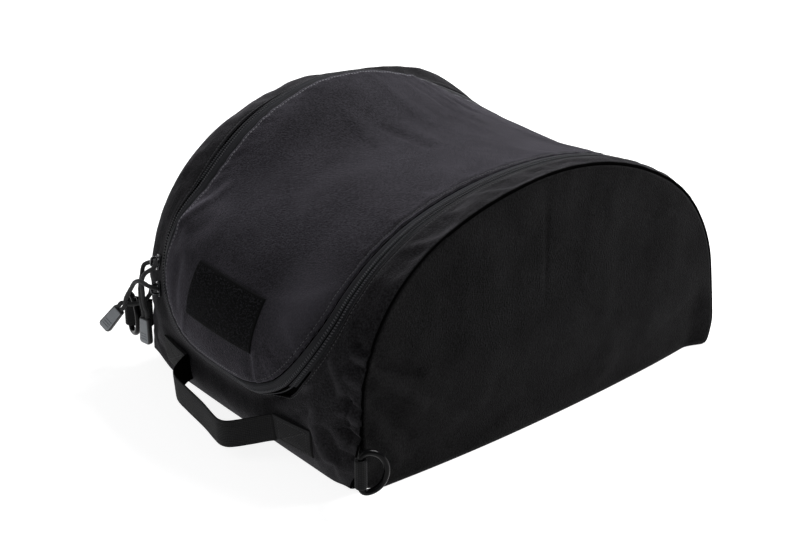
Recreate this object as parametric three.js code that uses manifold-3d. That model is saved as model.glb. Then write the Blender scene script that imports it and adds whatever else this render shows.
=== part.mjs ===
// Helmet bag: a soft case with D-shaped ends, zipped along three sides of its padded lid.
// Millimetres, +Z up. X runs across the bag, Y from front to back, the origin is the middle of the base.

import * as THREE from 'three';
import { mergeVertices } from 'three/addons/utils/BufferGeometryUtils.js';
import Module from 'manifold-3d';

const wasm = await Module();
wasm.setup();

// The arch is the rim of each end panel, walked from the front foot over the top to the back foot.
const RIM_X = 141;
const FRONT_FOOT_Y = -199.8;
const FRONT_HEADING = 88.35;
const ARCH = [
  { stretch: 'front wall', length: 79.6, turn: 0 },
  { stretch: 'front shoulder', length: 154.7, turn: 67 },
  { stretch: 'top', length: 242, turn: 54.8 },
  { stretch: 'back shoulder', length: 123.3, turn: 47.2 },
];

// How far the cloth stands out from the arch at mid width, and what each side adds; negative where it sags.
const SWELL = [
  { along: 0, out: 0, left: 0, right: 0 },
  { along: 12, out: 10, left: 0, right: 0 },
  { along: 25, out: 17, left: 0, right: 0 },
  { along: 45, out: 21, left: 0, right: 0 },
  { along: 65, out: 30, left: 0, right: 0 },
  { along: 95, out: 32, left: 0, right: 0 },
  { along: 115, out: 30, left: 0, right: -1 },
  { along: 140, out: 24, left: 0, right: -3 },
  { along: 170, out: 14, left: 0, right: -4 },
  { along: 210, out: 4, left: 1, right: -4 },
  { along: 260, out: -3, left: 9, right: -3 },
  { along: 300, out: -8, left: 18, right: -2 },
  { along: 340, out: -13, left: 17, right: -1 },
  { along: 390, out: -16, left: 7, right: 0 },
  { along: 440, out: -14, left: 1, right: 0 },
  { along: 520, out: -4, left: 0, right: 0 },
  { along: 600, out: 6, left: 0, right: 0 },
  { along: 680, out: 0, left: 0, right: 0 },
];
const SWELL_FULLNESS = 2.5;

const GAP = 0.3;
const CLOTH = 3;
const LID = { halfWidth: 98, lip: 64, leftCorner: 68, rightCorner: 80, hinge: 520, wall: 4 };
const END = { wall: 5, inset: 0.5, pillow: 4, middleZ: 92, rings: [1, 0.9, 0.68, 0.36] };
const BASE = { wall: 4, cornerRadius: 6, backPlay: 1.3 };
const ZIP = { band: 19, tapeTop: 1.3, tapeWall: 1.2, coilWidth: 6, coilTop: -1 };
const PATCH = { halfWidth: 43.5, low: 89, high: 126, wall: 1.6 };
const WEB = { width: 25, ply: 1.8 };
const HANDLE = { tabInner: 60, tabOuter: 99, low: 21, dip: 16, lean: 5 };
const RING = { wire: 5, halfHeight: 17.5, cornerRadius: 5, depth: 20 };
const RING_TAB = { reach: 20, away: { x: 0.8, y: -0.6 }, play: 0.5 };
const SLIDER = { length: 13, width: 9, plate: 2.2, bridge: 3.6, holeLength: 6, holeHeight: 4.6, wall: 1.6 };
const PULL = { cord: 3.2, width: 12, length: 24, thick: 5.5, edge: 0.9, taper: 1, strandGap: 3.8, lead: 5 };

// How far the handle stands off the bag between its sewn ends; it leaves the left one sharply and folds near
// the right one.
const HANDLE_BOW = [
  { x: -60, out: 0 },
  { x: -57, out: 7.5 },
  { x: -53, out: 13 },
  { x: -46, out: 16.5 },
  { x: -30, out: 20 },
  { x: 0, out: 26 },
  { x: 20, out: 30.5 },
  { x: 28, out: 31 },
  { x: 35, out: 28 },
  { x: 46, out: 16 },
  { x: 55, out: 5 },
  { x: 60, out: 0 },
];
const HANDLE_FULLEST = Math.max(...HANDLE_BOW.map((row) => row.out));

// Side of the bag, height of the ring's middle, and the way it lies as a turn about +Z from +X.
const RINGS = [
  { name: 'right', side: 1, z: 36, turn: 66 },
  { name: 'left', side: -1, z: 44, turn: -13.5 },
];

// Each slider's row on the left leg of the zip, and its pull: the top and tip of the moulded end, and which
// way its flat face looks.
const PULLS = [
  {
    name: 'upper',
    row: 110,
    top: { x: -108, y: -226, z: 63 },
    tip: { x: -108, y: -226.5, z: 39 },
    faces: { x: 0.18, y: -0.98, z: 0 },
  },
  {
    name: 'lower',
    row: 95,
    top: { x: -124.6, y: -240, z: 69 },
    tip: { x: -137, y: -251, z: 47.5 },
    faces: { x: 0.43, y: -0.9, z: 0.2 },
  },
];

// Routes of the pull cords: out of the moulded end, under the slider's bridge and back.
const CORD_ROUTES = {
  upper: [
    { x: -107.6, y: -226.5, z: 74 },
    { x: -109.8, y: -226, z: 86 },
    { x: -108.6, y: -226.5, z: 98 },
    { x: -103, y: -226, z: 106 },
    { x: -98.4, y: -221, z: 111 },
    'bridge',
    { x: -115.4, y: -219.5, z: 106.5 },
    { x: -114.6, y: -223, z: 98 },
    { x: -114.4, y: -225.5, z: 86 },
    { x: -111.8, y: -226.5, z: 74 },
  ],
  lower: [
    { x: -119.8, y: -236.4, z: 79 },
    { x: -115.2, y: -233.8, z: 89 },
    { x: -109, y: -233, z: 97.5 },
    { x: -101.5, y: -232.5, z: 101 },
    { x: -95, y: -229.5, z: 98.5 },
    'bridge',
    { x: -111, y: -216.5, z: 86.5 },
    { x: -113.2, y: -217.5, z: 79 },
    { x: -115.5, y: -223.5, z: 73.5 },
    { x: -119.6, y: -232, z: 72.5 },
  ],
};

const radians = THREE.MathUtils.degToRad;
const mix = THREE.MathUtils.lerp;

// Cubic through a table of rows, with the slope at each row taken from its neighbours.
function smooth(rows, from, to, value) {
  const last = rows.length - 1;
  let i = 0;
  while (i < last - 1 && value > rows[i + 1][from]) i += 1;
  const slope = (k) => {
    const a = rows[Math.max(0, k - 1)];
    const b = rows[Math.min(last, k + 1)];
    return (b[to] - a[to]) / (b[from] - a[from]);
  };
  const span = rows[i + 1][from] - rows[i][from];
  const t = THREE.MathUtils.clamp((value - rows[i][from]) / span, 0, 1);
  const start = (1 + 2 * t) * (1 - t) ** 2 * rows[i][to] + t * (1 - t) ** 2 * span * slope(i);
  const end = t * t * (3 - 2 * t) * rows[i + 1][to] + t * t * (t - 1) * span * slope(i + 1);
  return start + end;
}

// Point of the arch and its outward direction, for a length walked from the front foot.
function archAt(along) {
  let heading = radians(FRONT_HEADING);
  let y = FRONT_FOOT_Y;
  let z = 0;
  let left = along;
  const advance = (length, turn) => {
    const chord = Math.abs(turn) < 1e-9 ? length : ((2 * length) / turn) * Math.sin(turn / 2);
    y += chord * Math.cos(heading - turn / 2);
    z += chord * Math.sin(heading - turn / 2);
    heading -= turn;
  };
  for (const row of ARCH) {
    const walked = Math.min(left, row.length);
    advance(walked, (radians(row.turn) * walked) / row.length);
    left -= walked;
    if (left <= 0) break;
  }
  if (left > 0) advance(left, 0);
  return { y, z, outY: -Math.sin(heading), outZ: Math.cos(heading) };
}

const CURVED = ARCH.reduce((sum, row) => sum + row.length, 0);
const SHOULDER_END = archAt(CURVED);
const ARCH_LENGTH = CURVED + SHOULDER_END.z / SHOULDER_END.outY;

// Point of the bag's skin, at a depth below it; the foot is cut flat on the floor.
function skin(x, along, depth = 0) {
  const rim = archAt(along);
  const share = Math.min(1, Math.abs(x) / RIM_X);
  const full = 1 - share ** SWELL_FULLNESS;
  const beside = (27 / 4) * share ** 2 * (1 - share);
  const lift = smooth(SWELL, 'along', x < 0 ? 'left' : 'right', along) * beside;
  const out = smooth(SWELL, 'along', 'out', along) * full + lift - depth;
  return new THREE.Vector3(x, rim.y + rim.outY * out, Math.max(0, rim.z + rim.outZ * out));
}

// Evenly spaced numbers, both ends included.
function spread(from, to, cells) {
  return Array.from({ length: cells + 1 }, (_, i) => mix(from, to, i / cells));
}

// Solid from points and triangles, turned so that its faces point out.
function solid(points, faces) {
  const corner = (i) => points[faces[i]];
  let volume = 0;
  for (let i = 0; i < faces.length; i += 3) {
    volume += corner(i).dot(new THREE.Vector3().crossVectors(corner(i + 1), corner(i + 2)));
  }
  if (volume < 0) faces.reverse();
  const geometry = new THREE.BufferGeometry().setFromPoints(points);
  geometry.setIndex(faces);
  return geometry;
}

// Wall between two grids of points; keep(row, column) says which cells are there.
function wall(outer, inner, keep = () => true) {
  const rows = outer.length;
  const columns = outer[0].length;
  const faces = [];
  const at = (layer, row, column) => (layer * rows + row) * columns + column;
  const quad = (a, b, c, d) => faces.push(a, b, c, a, c, d);
  const there = (row, column) =>
    row >= 0 && column >= 0 && row < rows - 1 && column < columns - 1 && keep(row, column);
  for (let row = 0; row < rows - 1; row += 1) {
    for (let column = 0; column < columns - 1; column += 1) {
      if (!there(row, column)) continue;
      const ring = [[row, column], [row, column + 1], [row + 1, column + 1], [row + 1, column]];
      const beyond = [[row - 1, column], [row, column + 1], [row + 1, column], [row, column - 1]];
      const top = ring.map((cell) => at(0, ...cell));
      const under = ring.map((cell) => at(1, ...cell));
      quad(...top);
      quad(under[3], under[2], under[1], under[0]);
      beyond.forEach((cell, i) => {
        const next = (i + 1) % ring.length;
        if (!there(...cell)) quad(top[next], top[i], under[i], under[next]);
      });
    }
  }
  return solid([...outer.flat(), ...inner.flat()], faces);
}

// Rows of the lid along the arch: close together round its corners, then evenly up its sides.
const CORNER_TOP = LID.lip + LID.rightCorner;
const ROWS = [
  ...spread(0, Math.PI / 2, 9).map((angle) => CORNER_TOP - LID.rightCorner * Math.cos(angle)),
  ...spread(CORNER_TOP, LID.hinge - GAP, 15).slice(1),
];
const cornerOf = (side) => (side < 0 ? LID.leftCorner : LID.rightCorner);
const coreOf = (side) => LID.halfWidth - cornerOf(side);

// Place in the flattened cloth where a row meets the lid's outline, grown by an amount.
function lidEdge(side, row, grow) {
  const corner = cornerOf(side);
  const centre = LID.lip + corner;
  const turn = Math.acos(THREE.MathUtils.clamp((centre - row) / corner, 0, 1));
  const reach = corner + grow;
  return {
    x: side * (coreOf(side) + reach * Math.sin(turn)),
    along: Math.max(row, centre) - reach * Math.cos(turn),
  };
}

// Rows of the cloth below the zip in front and below the hinge behind, and all rows that meet a rim.
const FRONT_ROWS = spread(0, LID.lip - ZIP.band, 5);
const BACK_ROWS = spread(LID.hinge, ARCH_LENGTH, 7);
const rimRows = (side) => [
  ...FRONT_ROWS,
  ...ROWS.slice(1).map((row) => lidEdge(side, row, ZIP.band).along),
  ...BACK_ROWS,
];

function lidPanel() {
  const grid = (depth) =>
    ROWS.map((row) => spread(lidEdge(-1, row, 0).x, lidEdge(1, row, 0).x, 10).map((x) => skin(x, row, depth)));
  return wall(grid(0), grid(LID.wall));
}

// Front lower panel and both side strips, cut in one U round the zip.
function surroundPanel() {
  const armCells = 4;
  const middleCells = 8;
  const across = (left, right, depth) => [
    ...spread(-RIM_X, left.x, armCells).map((x) => skin(x, left.along, depth)),
    ...spread(left.x, right.x, middleCells).slice(1, -1).map((x) => skin(x, left.along, depth)),
    ...spread(right.x, RIM_X, armCells).map((x) => skin(x, right.along, depth)),
  ];
  const grid = (depth) => [
    ...FRONT_ROWS.map((along) => across({ x: -coreOf(-1), along }, { x: coreOf(1), along }, depth)),
    ...ROWS.slice(1).map((row) => across(lidEdge(-1, row, ZIP.band), lidEdge(1, row, ZIP.band), depth)),
  ];
  const inFront = (row) => row < FRONT_ROWS.length - 1;
  const inArm = (column) => column < armCells || column >= armCells + middleCells;
  return wall(grid(0), grid(CLOTH), (row, column) => inFront(row) || inArm(column));
}

function backPanel() {
  const across = spread(-RIM_X, RIM_X, 10);
  const grid = (depth) => BACK_ROWS.map((along) => across.map((x) => skin(x, along, depth)));
  return wall(grid(0), grid(CLOTH));
}

// Padded D-shaped panel inside the arch, swelling a little at its middle.
function endPanel(side) {
  const outerX = RIM_X - END.inset;
  const middle = new THREE.Vector2(0, END.middleZ);
  const edge = rimRows(side).map((along) => {
    const under = [outerX, outerX - END.wall].map((x) => skin(side * x, along, CLOTH + GAP));
    const [nearer, farther] = under.map(({ y, z }) => new THREE.Vector2(y, z));
    const [y, z] = nearer.distanceTo(middle) < farther.distanceTo(middle) ? nearer : farther;
    return { y, z };
  });
  const foot = spread(edge.at(-1).y, edge[0].y, 10).slice(1, -1).map((y) => ({ y, z: 0 }));
  const outline = [...edge, ...foot];
  const { rings } = END;
  const face = (depth) =>
    rings.map((ring) =>
      [...outline, outline[0]].map(({ y, z }) => {
        const x = outerX - depth + END.pillow * (1 - ring ** 2);
        return new THREE.Vector3(side * x, y * ring, mix(END.middleZ, z, ring));
      }));
  const count = outline.length;
  const points = [];
  const faces = [];
  for (const depth of [0, END.wall]) {
    for (const ring of face(depth)) points.push(...ring.slice(0, count));
    points.push(new THREE.Vector3(side * (outerX - depth + END.pillow), 0, END.middleZ));
  }
  const layer = rings.length * count + 1;
  const at = (under, ring, i) => under * layer + ring * count + (i % count);
  for (let i = 0; i < count; i += 1) {
    for (let ring = 0; ring < rings.length - 1; ring += 1) {
      for (const under of [0, 1]) {
        const a = at(under, ring, i);
        const b = at(under, ring, i + 1);
        const c = at(under, ring + 1, i + 1);
        const d = at(under, ring + 1, i);
        faces.push(...(under ? [a, c, b, a, d, c] : [a, b, c, a, c, d]));
      }
    }
    const last = rings.length - 1;
    faces.push(at(0, last, i), at(0, last, i + 1), layer - 1);
    faces.push(at(1, last, i + 1), at(1, last, i), 2 * layer - 1);
    faces.push(at(0, 0, i + 1), at(0, 0, i), at(1, 0, i), at(0, 0, i + 1), at(1, 0, i), at(1, 0, i + 1));
  }
  return solid(points, faces);
}

function basePanel() {
  const halfX = RIM_X - END.inset - END.wall - GAP;
  const front = FRONT_FOOT_Y + CLOTH + GAP;
  const back = archAt(ARCH_LENGTH).y - CLOTH - BASE.backPlay;
  const round = BASE.cornerRadius;
  const outline = new THREE.Shape();
  outline.moveTo(-halfX + round, front);
  outline.lineTo(halfX - round, front);
  outline.absarc(halfX - round, front + round, round, -Math.PI / 2, 0);
  outline.absarc(halfX - round, back - round, round, 0, Math.PI / 2);
  outline.absarc(-halfX + round, back - round, round, Math.PI / 2, Math.PI);
  outline.absarc(-halfX + round, front + round, round, Math.PI, 1.5 * Math.PI);
  return new THREE.ExtrudeGeometry(outline, { depth: BASE.wall, bevelEnabled: false, curveSegments: 3 });
}

// Band that follows the zip from the back left over the front to the back right, between two distances out
// from the lid's edge and two depths.
function zipBand(near, far, top, bottom) {
  const lip = spread(-coreOf(-1), coreOf(1), 6).slice(1, -1);
  const stations = [
    ...ROWS.map((row) => (grow) => lidEdge(-1, row, grow)).reverse(),
    ...lip.map((x) => (grow) => ({ x, along: LID.lip - grow })),
    ...ROWS.map((row) => (grow) => lidEdge(1, row, grow)),
  ];
  const grid = (depth) =>
    stations.map((station) => [near, far].map((grow) => skin(station(grow).x, station(grow).along, depth)));
  return wall(grid(top), grid(bottom));
}

const tapeBottom = ZIP.tapeTop + ZIP.tapeWall;
const zipMiddle = ZIP.band / 2;
const lidTape = () => zipBand(GAP, zipMiddle - GAP / 2, ZIP.tapeTop, tapeBottom);
const bodyTape = () => zipBand(zipMiddle + GAP / 2, ZIP.band - GAP, ZIP.tapeTop, tapeBottom);
const coil = () =>
  zipBand(zipMiddle - ZIP.coilWidth / 2, zipMiddle + ZIP.coilWidth / 2, ZIP.coilTop, ZIP.tapeTop - 2 * GAP);

function loopPatch() {
  const rows = spread(PATCH.low, PATCH.high, 5);
  const grid = (depth) =>
    rows.map((along) => spread(-PATCH.halfWidth, PATCH.halfWidth, 8).map((x) => skin(x, along, depth)));
  return wall(grid(-GAP - PATCH.wall), grid(-GAP));
}

// Carry handle: webbing folded double where it is sewn down, bowing out and down in between.
function handleStrap() {
  const across = spread(WEB.width / 2, -WEB.width / 2, 4);
  const middle = HANDLE.low + WEB.width / 2;
  const root = skin(HANDLE.tabInner, middle, -GAP - WEB.ply);
  const sewn = skin(HANDLE.tabInner, middle + 1).sub(skin(HANDLE.tabInner, middle - 1));
  const dip = radians(HANDLE.dip);
  const bow = (x) => smooth(HANDLE_BOW, 'x', 'out', x);
  const centre = (x) => {
    const out = bow(x);
    return new THREE.Vector3(x, root.y - out * Math.cos(dip), root.z - out * Math.sin(dip));
  };
  const stations = [
    ...spread(-HANDLE.tabOuter, -HANDLE.tabInner, 4),
    ...spread(-HANDLE.tabInner, HANDLE.tabInner, 40).slice(1, -1),
    ...spread(HANDLE.tabInner, HANDLE.tabOuter, 4),
  ];
  const face = (plies) =>
    stations.map((x) => {
      if (Math.abs(x) >= HANDLE.tabInner) {
        return across.map((up) => skin(x, middle + up, -GAP - 2 * plies * WEB.ply));
      }
      const lean = mix(Math.atan2(-sewn.y, sewn.z), radians(HANDLE.lean), bow(x) / HANDLE_FULLEST);
      const upward = new THREE.Vector3(0, -Math.sin(lean), Math.cos(lean));
      const out = centre(x + 1).sub(centre(x - 1)).cross(upward).normalize();
      return across.map((up) => centre(x).addScaledVector(upward, up).addScaledVector(out, plies * WEB.ply));
    });
  return wall(face(1), face(0));
}

// Plan of a ring's seat: the corner seam, the way its tab points, and the ring's bar.
function ringSeat({ side, z }) {
  const seam = archAt(z);
  const away = new THREE.Vector2(side * RING_TAB.away.x, RING_TAB.away.y);
  const root = new THREE.Vector2(side * RIM_X, seam.y);
  return { away, root, bar: root.clone().addScaledVector(away, RING_TAB.reach) };
}

// Webbing loop round the ring's bar, its two plies sewn into the corner seam.
function ringTab(ring) {
  const { away, root, bar } = ringSeat(ring);
  const hole = RING.wire / 2 + RING_TAB.play;
  const round = hole + WEB.ply;
  const across = new THREE.Vector2(-away.y, away.x);
  const start = root.clone().addScaledVector(away, 2 * GAP);
  const heading = away.angle();
  const outline = new THREE.Shape();
  outline.moveTo(start.x + across.x * WEB.ply, start.y + across.y * WEB.ply);
  outline.lineTo(start.x - across.x * WEB.ply, start.y - across.y * WEB.ply);
  outline.absarc(bar.x, bar.y, round, heading - Math.PI / 2, heading + Math.PI / 2);
  outline.holes.push(new THREE.Path().absarc(bar.x, bar.y, hole, 0, 2 * Math.PI, true));
  const shape = new THREE.ExtrudeGeometry(outline, { depth: WEB.width, bevelEnabled: false, curveSegments: 7 });
  return shape.translate(0, 0, ring.z - WEB.width / 2);
}

// D-shaped wire ring, its straight bar on the hinge line.
function dRing(ring) {
  const { bar } = ringSeat(ring);
  const bend = RING.cornerRadius;
  const flat = RING.halfHeight - bend;
  const cornerTurn = spread(Math.PI / 2, Math.PI, 3).reverse();
  const upper = cornerTurn.map((angle) => [bend + bend * Math.cos(angle), flat + bend * Math.sin(angle)]);
  const bow = spread(-Math.PI / 2, Math.PI / 2, 14).slice(1, -1).reverse()
    .map((angle) => [bend + (RING.depth - bend) * Math.cos(angle), RING.halfHeight * Math.sin(angle)]);
  const lower = upper.map(([out, up]) => [out, -up]).reverse();
  const barPoints = spread(-flat, flat, 4).slice(1, -1).map((up) => [0, up]);
  const path = [...upper, ...bow, ...lower, ...barPoints];
  const wire = path.map(([out, up]) => new THREE.Vector3(out, 0, up));
  const curve = new THREE.CatmullRomCurve3(wire, true, 'centripetal');
  const tube = new THREE.TubeGeometry(curve, 36, RING.wire / 2, 8, true);
  tube.deleteAttribute('normal');
  tube.deleteAttribute('uv');
  return mergeVertices(tube).rotateZ(radians(ring.turn)).translate(bar.x, bar.y, ring.z);
}

// Where a slider sits on the left leg: its axes across, along and out of the zip, and its place.
function sliderSeat(row) {
  const place = (at) => {
    const { x, along } = lidEdge(-1, at, zipMiddle);
    return skin(x, along, ZIP.coilTop - GAP);
  };
  const { x, along } = lidEdge(-1, row, zipMiddle);
  const up = place(row + 1).sub(place(row - 1)).normalize();
  const out = skin(x + 1, along).sub(skin(x - 1, along)).cross(up).normalize();
  const across = new THREE.Vector3().crossVectors(up, out);
  return new THREE.Matrix4().makeBasis(across, up, out).setPosition(place(row));
}

function asManifold(geometry) {
  const bare = geometry.clone();
  bare.deleteAttribute('normal');
  bare.deleteAttribute('uv');
  const merged = mergeVertices(bare);
  const vertProperties = new Float32Array(merged.attributes.position.array);
  const index = merged.index.array;
  return new wasm.Manifold(new wasm.Mesh({ numProp: 3, vertProperties, triVerts: new Uint32Array(index) }));
}

// Slider plate with the bridge that its cord runs under.
function slider(row) {
  const half = SLIDER.length / 2;
  const nose = SLIDER.width / 4;
  const plan = new THREE.Shape();
  plan.moveTo(-nose, -half);
  plan.lineTo(nose, -half);
  plan.lineTo(SLIDER.width / 2, half / 3);
  plan.lineTo(SLIDER.width / 2, half);
  plan.lineTo(-SLIDER.width / 2, half);
  plan.lineTo(-SLIDER.width / 2, half / 3);
  const plate = new THREE.ExtrudeGeometry(plan, { depth: SLIDER.plate, bevelEnabled: false });
  const legs = SLIDER.holeLength / 2 + SLIDER.wall;
  const roof = SLIDER.plate + SLIDER.holeHeight;
  const side = new THREE.Shape();
  side.moveTo(-legs, SLIDER.plate / 2);
  side.lineTo(legs, SLIDER.plate / 2);
  side.lineTo(legs, roof - SLIDER.wall / 2);
  side.lineTo(legs - SLIDER.wall, roof + SLIDER.wall);
  side.lineTo(SLIDER.wall - legs, roof + SLIDER.wall);
  side.lineTo(-legs, roof - SLIDER.wall / 2);
  const gate = new THREE.Path();
  gate.moveTo(-SLIDER.holeLength / 2, SLIDER.plate + GAP);
  gate.lineTo(-SLIDER.holeLength / 2, roof);
  gate.lineTo(SLIDER.holeLength / 2, roof);
  gate.lineTo(SLIDER.holeLength / 2, SLIDER.plate + GAP);
  side.holes.push(gate);
  const bridge = new THREE.ExtrudeGeometry(side, { depth: SLIDER.bridge, bevelEnabled: false });
  bridge.translate(0, 0, -SLIDER.bridge / 2);
  bridge.applyMatrix4(new THREE.Matrix4().makeBasis(
    new THREE.Vector3(0, 1, 0), new THREE.Vector3(0, 0, 1), new THREE.Vector3(1, 0, 0)));
  const joined = asManifold(plate).add(asManifold(bridge)).getMesh();
  const geometry = new THREE.BufferGeometry();
  geometry.setAttribute('position', new THREE.BufferAttribute(Float32Array.from(joined.vertProperties), 3));
  geometry.setIndex([...joined.triVerts]);
  return geometry.applyMatrix4(sliderSeat(row));
}

// Frame of a pull's moulded end: local Y runs up to the cord's mouth, local Z out of its flat face.
function pullFrame({ top, tip, faces }) {
  const mouth = new THREE.Vector3(top.x, top.y, top.z);
  const up = mouth.clone().sub(tip).normalize();
  const across = up.clone().cross(faces).normalize();
  const out = across.clone().cross(up);
  const middle = mouth.addScaledVector(up, -PULL.length / 2);
  return new THREE.Matrix4().makeBasis(across, up, out).setPosition(middle);
}

function pullEnd(pull) {
  const half = { x: PULL.width / 2, y: PULL.length / 2 };
  const round = PULL.width / 4;
  const neck = half.x - PULL.taper;
  const outline = new THREE.Shape();
  outline.moveTo(round - half.x, -half.y);
  outline.lineTo(half.x - round, -half.y);
  outline.quadraticCurveTo(half.x, -half.y, half.x, round - half.y);
  outline.lineTo(neck, half.y);
  outline.lineTo(-neck, half.y);
  outline.lineTo(-half.x, round - half.y);
  outline.quadraticCurveTo(-half.x, -half.y, round - half.x, -half.y);
  const { edge, thick } = PULL;
  const bevel = { bevelThickness: edge, bevelSize: edge, bevelOffset: -edge, bevelSegments: 1 };
  const body = new THREE.ExtrudeGeometry(outline, { depth: thick - 2 * edge, curveSegments: 3, ...bevel });
  return body.translate(0, 0, edge - thick / 2).applyMatrix4(pullFrame(pull));
}

function pullCord(pull) {
  const frame = pullFrame(pull);
  const mouth = (side, above) =>
    new THREE.Vector3((side * PULL.strandGap) / 2, PULL.length / 2 + above, 0).applyMatrix4(frame);
  const holeMiddle = SLIDER.plate + (GAP + SLIDER.holeHeight) / 2;
  const underBridge = spread(SLIDER.bridge, -SLIDER.bridge, 2)
    .map((across) => new THREE.Vector3(across, 0, holeMiddle).applyMatrix4(sliderSeat(pull.row)));
  const route = CORD_ROUTES[pull.name].flatMap((stop) =>
    (stop === 'bridge' ? underBridge : [new THREE.Vector3(stop.x, stop.y, stop.z)]));
  const { lead } = PULL;
  const points = [mouth(1, GAP), mouth(1, lead), ...route, mouth(-1, lead), mouth(-1, GAP)];
  const curve = new THREE.CatmullRomCurve3(points, false, 'centripetal');
  const section = new THREE.Shape();
  const sides = 8;
  for (let i = 0; i < sides; i += 1) {
    const angle = (2 * Math.PI * i) / sides;
    const corner = [(PULL.cord / 2) * Math.cos(angle), (PULL.cord / 2) * Math.sin(angle)];
    if (i === 0) section.moveTo(...corner);
    else section.lineTo(...corner);
  }
  return new THREE.ExtrudeGeometry(section, { steps: 36, bevelEnabled: false, extrudePath: curve });
}

const finish = (colour, roughness, metalness = 0) => () =>
  new THREE.MeshStandardMaterial({ color: colour, roughness, metalness });
const lidCloth = finish(0x2c2c31, 0.62);
const bodyCloth = finish(0x222226, 0.66);
const webbing = finish(0x26262a, 0.7);
const zipTape = finish(0x1c1c20, 0.75);
const zipCoil = finish(0x2a2a2e, 0.4);
const loopPile = finish(0x0f0f11, 0.95);
const gloss = finish(0x101012, 0.18);
const steel = finish(0x8a8c90, 0.25, 1);
const cordBraid = finish(0x131315, 0.8);
const rubber = finish(0x666a6d, 0.6);

const bag = new THREE.Group();
function place(name, geometry, material) {
  const mesh = new THREE.Mesh(geometry, material());
  mesh.name = name;
  bag.add(mesh);
}

place('base_panel', basePanel(), bodyCloth);
place('surround_panel', surroundPanel(), bodyCloth);
place('back_panel', backPanel(), bodyCloth);
place('lid_panel', lidPanel(), lidCloth);
place('zip_tape_lid_side', lidTape(), zipTape);
place('zip_tape_body_side', bodyTape(), zipTape);
place('zip_coil', coil(), zipCoil);
place('loop_patch', loopPatch(), loopPile);
place('handle_strap', handleStrap(), webbing);
for (const ring of RINGS) {
  place(`end_panel_${ring.name}`, endPanel(ring.side), bodyCloth);
  place(`ring_tab_${ring.name}`, ringTab(ring), webbing);
  place(`d_ring_${ring.name}`, dRing(ring), gloss);
}
for (const pull of PULLS) {
  place(`zip_slider_${pull.name}`, slider(pull.row), steel);
  place(`pull_cord_${pull.name}`, pullCord(pull), cordBraid);
  place(`pull_end_${pull.name}`, pullEnd(pull), rubber);
}

export default bag;
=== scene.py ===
"""Helmet bag: cloth panels, zip, webbing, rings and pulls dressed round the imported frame."""

import math
from functools import partial

import bmesh
import bpy
import numpy as np
from mathutils import Matrix, Vector


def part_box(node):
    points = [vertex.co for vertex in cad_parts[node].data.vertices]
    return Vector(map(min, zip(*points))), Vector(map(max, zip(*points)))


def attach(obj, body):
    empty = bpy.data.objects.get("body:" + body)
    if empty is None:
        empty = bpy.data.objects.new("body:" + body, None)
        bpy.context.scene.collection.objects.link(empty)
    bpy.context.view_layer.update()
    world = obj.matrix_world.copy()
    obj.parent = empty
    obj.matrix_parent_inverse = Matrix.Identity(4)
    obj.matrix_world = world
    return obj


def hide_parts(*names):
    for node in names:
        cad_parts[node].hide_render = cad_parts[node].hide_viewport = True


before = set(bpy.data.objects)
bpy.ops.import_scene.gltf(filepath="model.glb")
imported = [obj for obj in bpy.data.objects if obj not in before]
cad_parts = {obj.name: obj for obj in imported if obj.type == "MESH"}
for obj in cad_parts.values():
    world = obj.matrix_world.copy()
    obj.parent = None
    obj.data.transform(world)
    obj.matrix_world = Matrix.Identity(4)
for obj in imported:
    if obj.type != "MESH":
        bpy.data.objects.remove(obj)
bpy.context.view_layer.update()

bl_info = {
    "name": "Helmet bag",
    "version": (1, 0, 0),
    "blender": (4, 5, 0),
    "location": "View3D > Sidebar > Helmet bag",
    "description": "Builds a soft helmet bag with a zipped lid, a webbing handle and swinging D-rings",
    "category": "Add Mesh",
}

MM = 0.001

# The arch is the rim of each end panel, walked from the front foot over the top to the back foot.
RIM_X = 141.0
FRONT_FOOT_Y = -199.8
FRONT_HEADING = math.radians(88.35)
ARCH = (
    # length, turn in degrees
    (79.6, 0.0),
    (154.7, 67.0),
    (242.0, 54.8),
    (123.3, 47.2),
)
ARCH_LENGTH = 673.6

# How far the cloth stands out from the arch at mid width, what each side adds, and what the rim adds.
SWELL = np.array([
    # along, out, left, right, rim
    (0, 0, 0, 0, 0), (12, 10, 0, 0, 0), (25, 17, 0, 0, 0), (45, 21, 0, 0, 0), (65, 30, 0, 0, 0),
    (95, 32, 0, 0, 0), (115, 30, 0, -1, 0), (140, 24, 0, -3, 0), (170, 14, 1, -4, 0), (210, 4, 6, -4, 0),
    (260, -3, 14, -3, 0), (300, -8, 16, -2, 0.5), (340, -13, 9, -1, 2.5), (390, -16, 1, 2, 4),
    (440, -14, 0, 4, 4.5), (520, -4, 0, 1.5, 4), (600, 6, 0, 0, 2.5), (680, 0, 0, 0, 0),
], float)

# How full the swell is, over what width the rim is raised, and what brings a side's hump to height 1.
SWELL_FULLNESS = 2.5
RIM_RAISED_OVER = 110.0
SIDE_HUMP = 27 / 4

# How far the lid's left edge stands up over the zip, and how the left rim is drawn, along the arch.
LEFT_EDGE = np.array([
    # along, lid edge, rim
    (0, 0, 0), (140, 0, 0), (155, -1.5, 0), (172, -4.3, 0), (190, -4, 0), (210, -2, 0), (230, 0.3, 0),
    (250, 1.6, 0), (270, 2.2, 0), (290, 3.8, 0), (310, 6.2, 0), (330, 9.4, -1), (350, 11.8, -2.2),
    (370, 13, -2.5), (390, 12.6, -1), (410, 10, 1), (430, 6, 3), (450, 2, 5), (470, 0, 4.5),
    (490, 0, 2), (520, 0, 0), (680, 0, 0),
], float)

# How far that reaches over the lid, and over the strip.
LEFT_EDGE_REACH = (55.0, 15.0)

# Outline of the lid in the flattened cloth.
LID_HALF = 98.0
LID_LIP = 64.0
LID_HINGE = 520.0
LID_CORNER = {-1: 68.0, 1: 80.0}

# Play between pieces that lie close together.
GAP = 0.3

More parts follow.
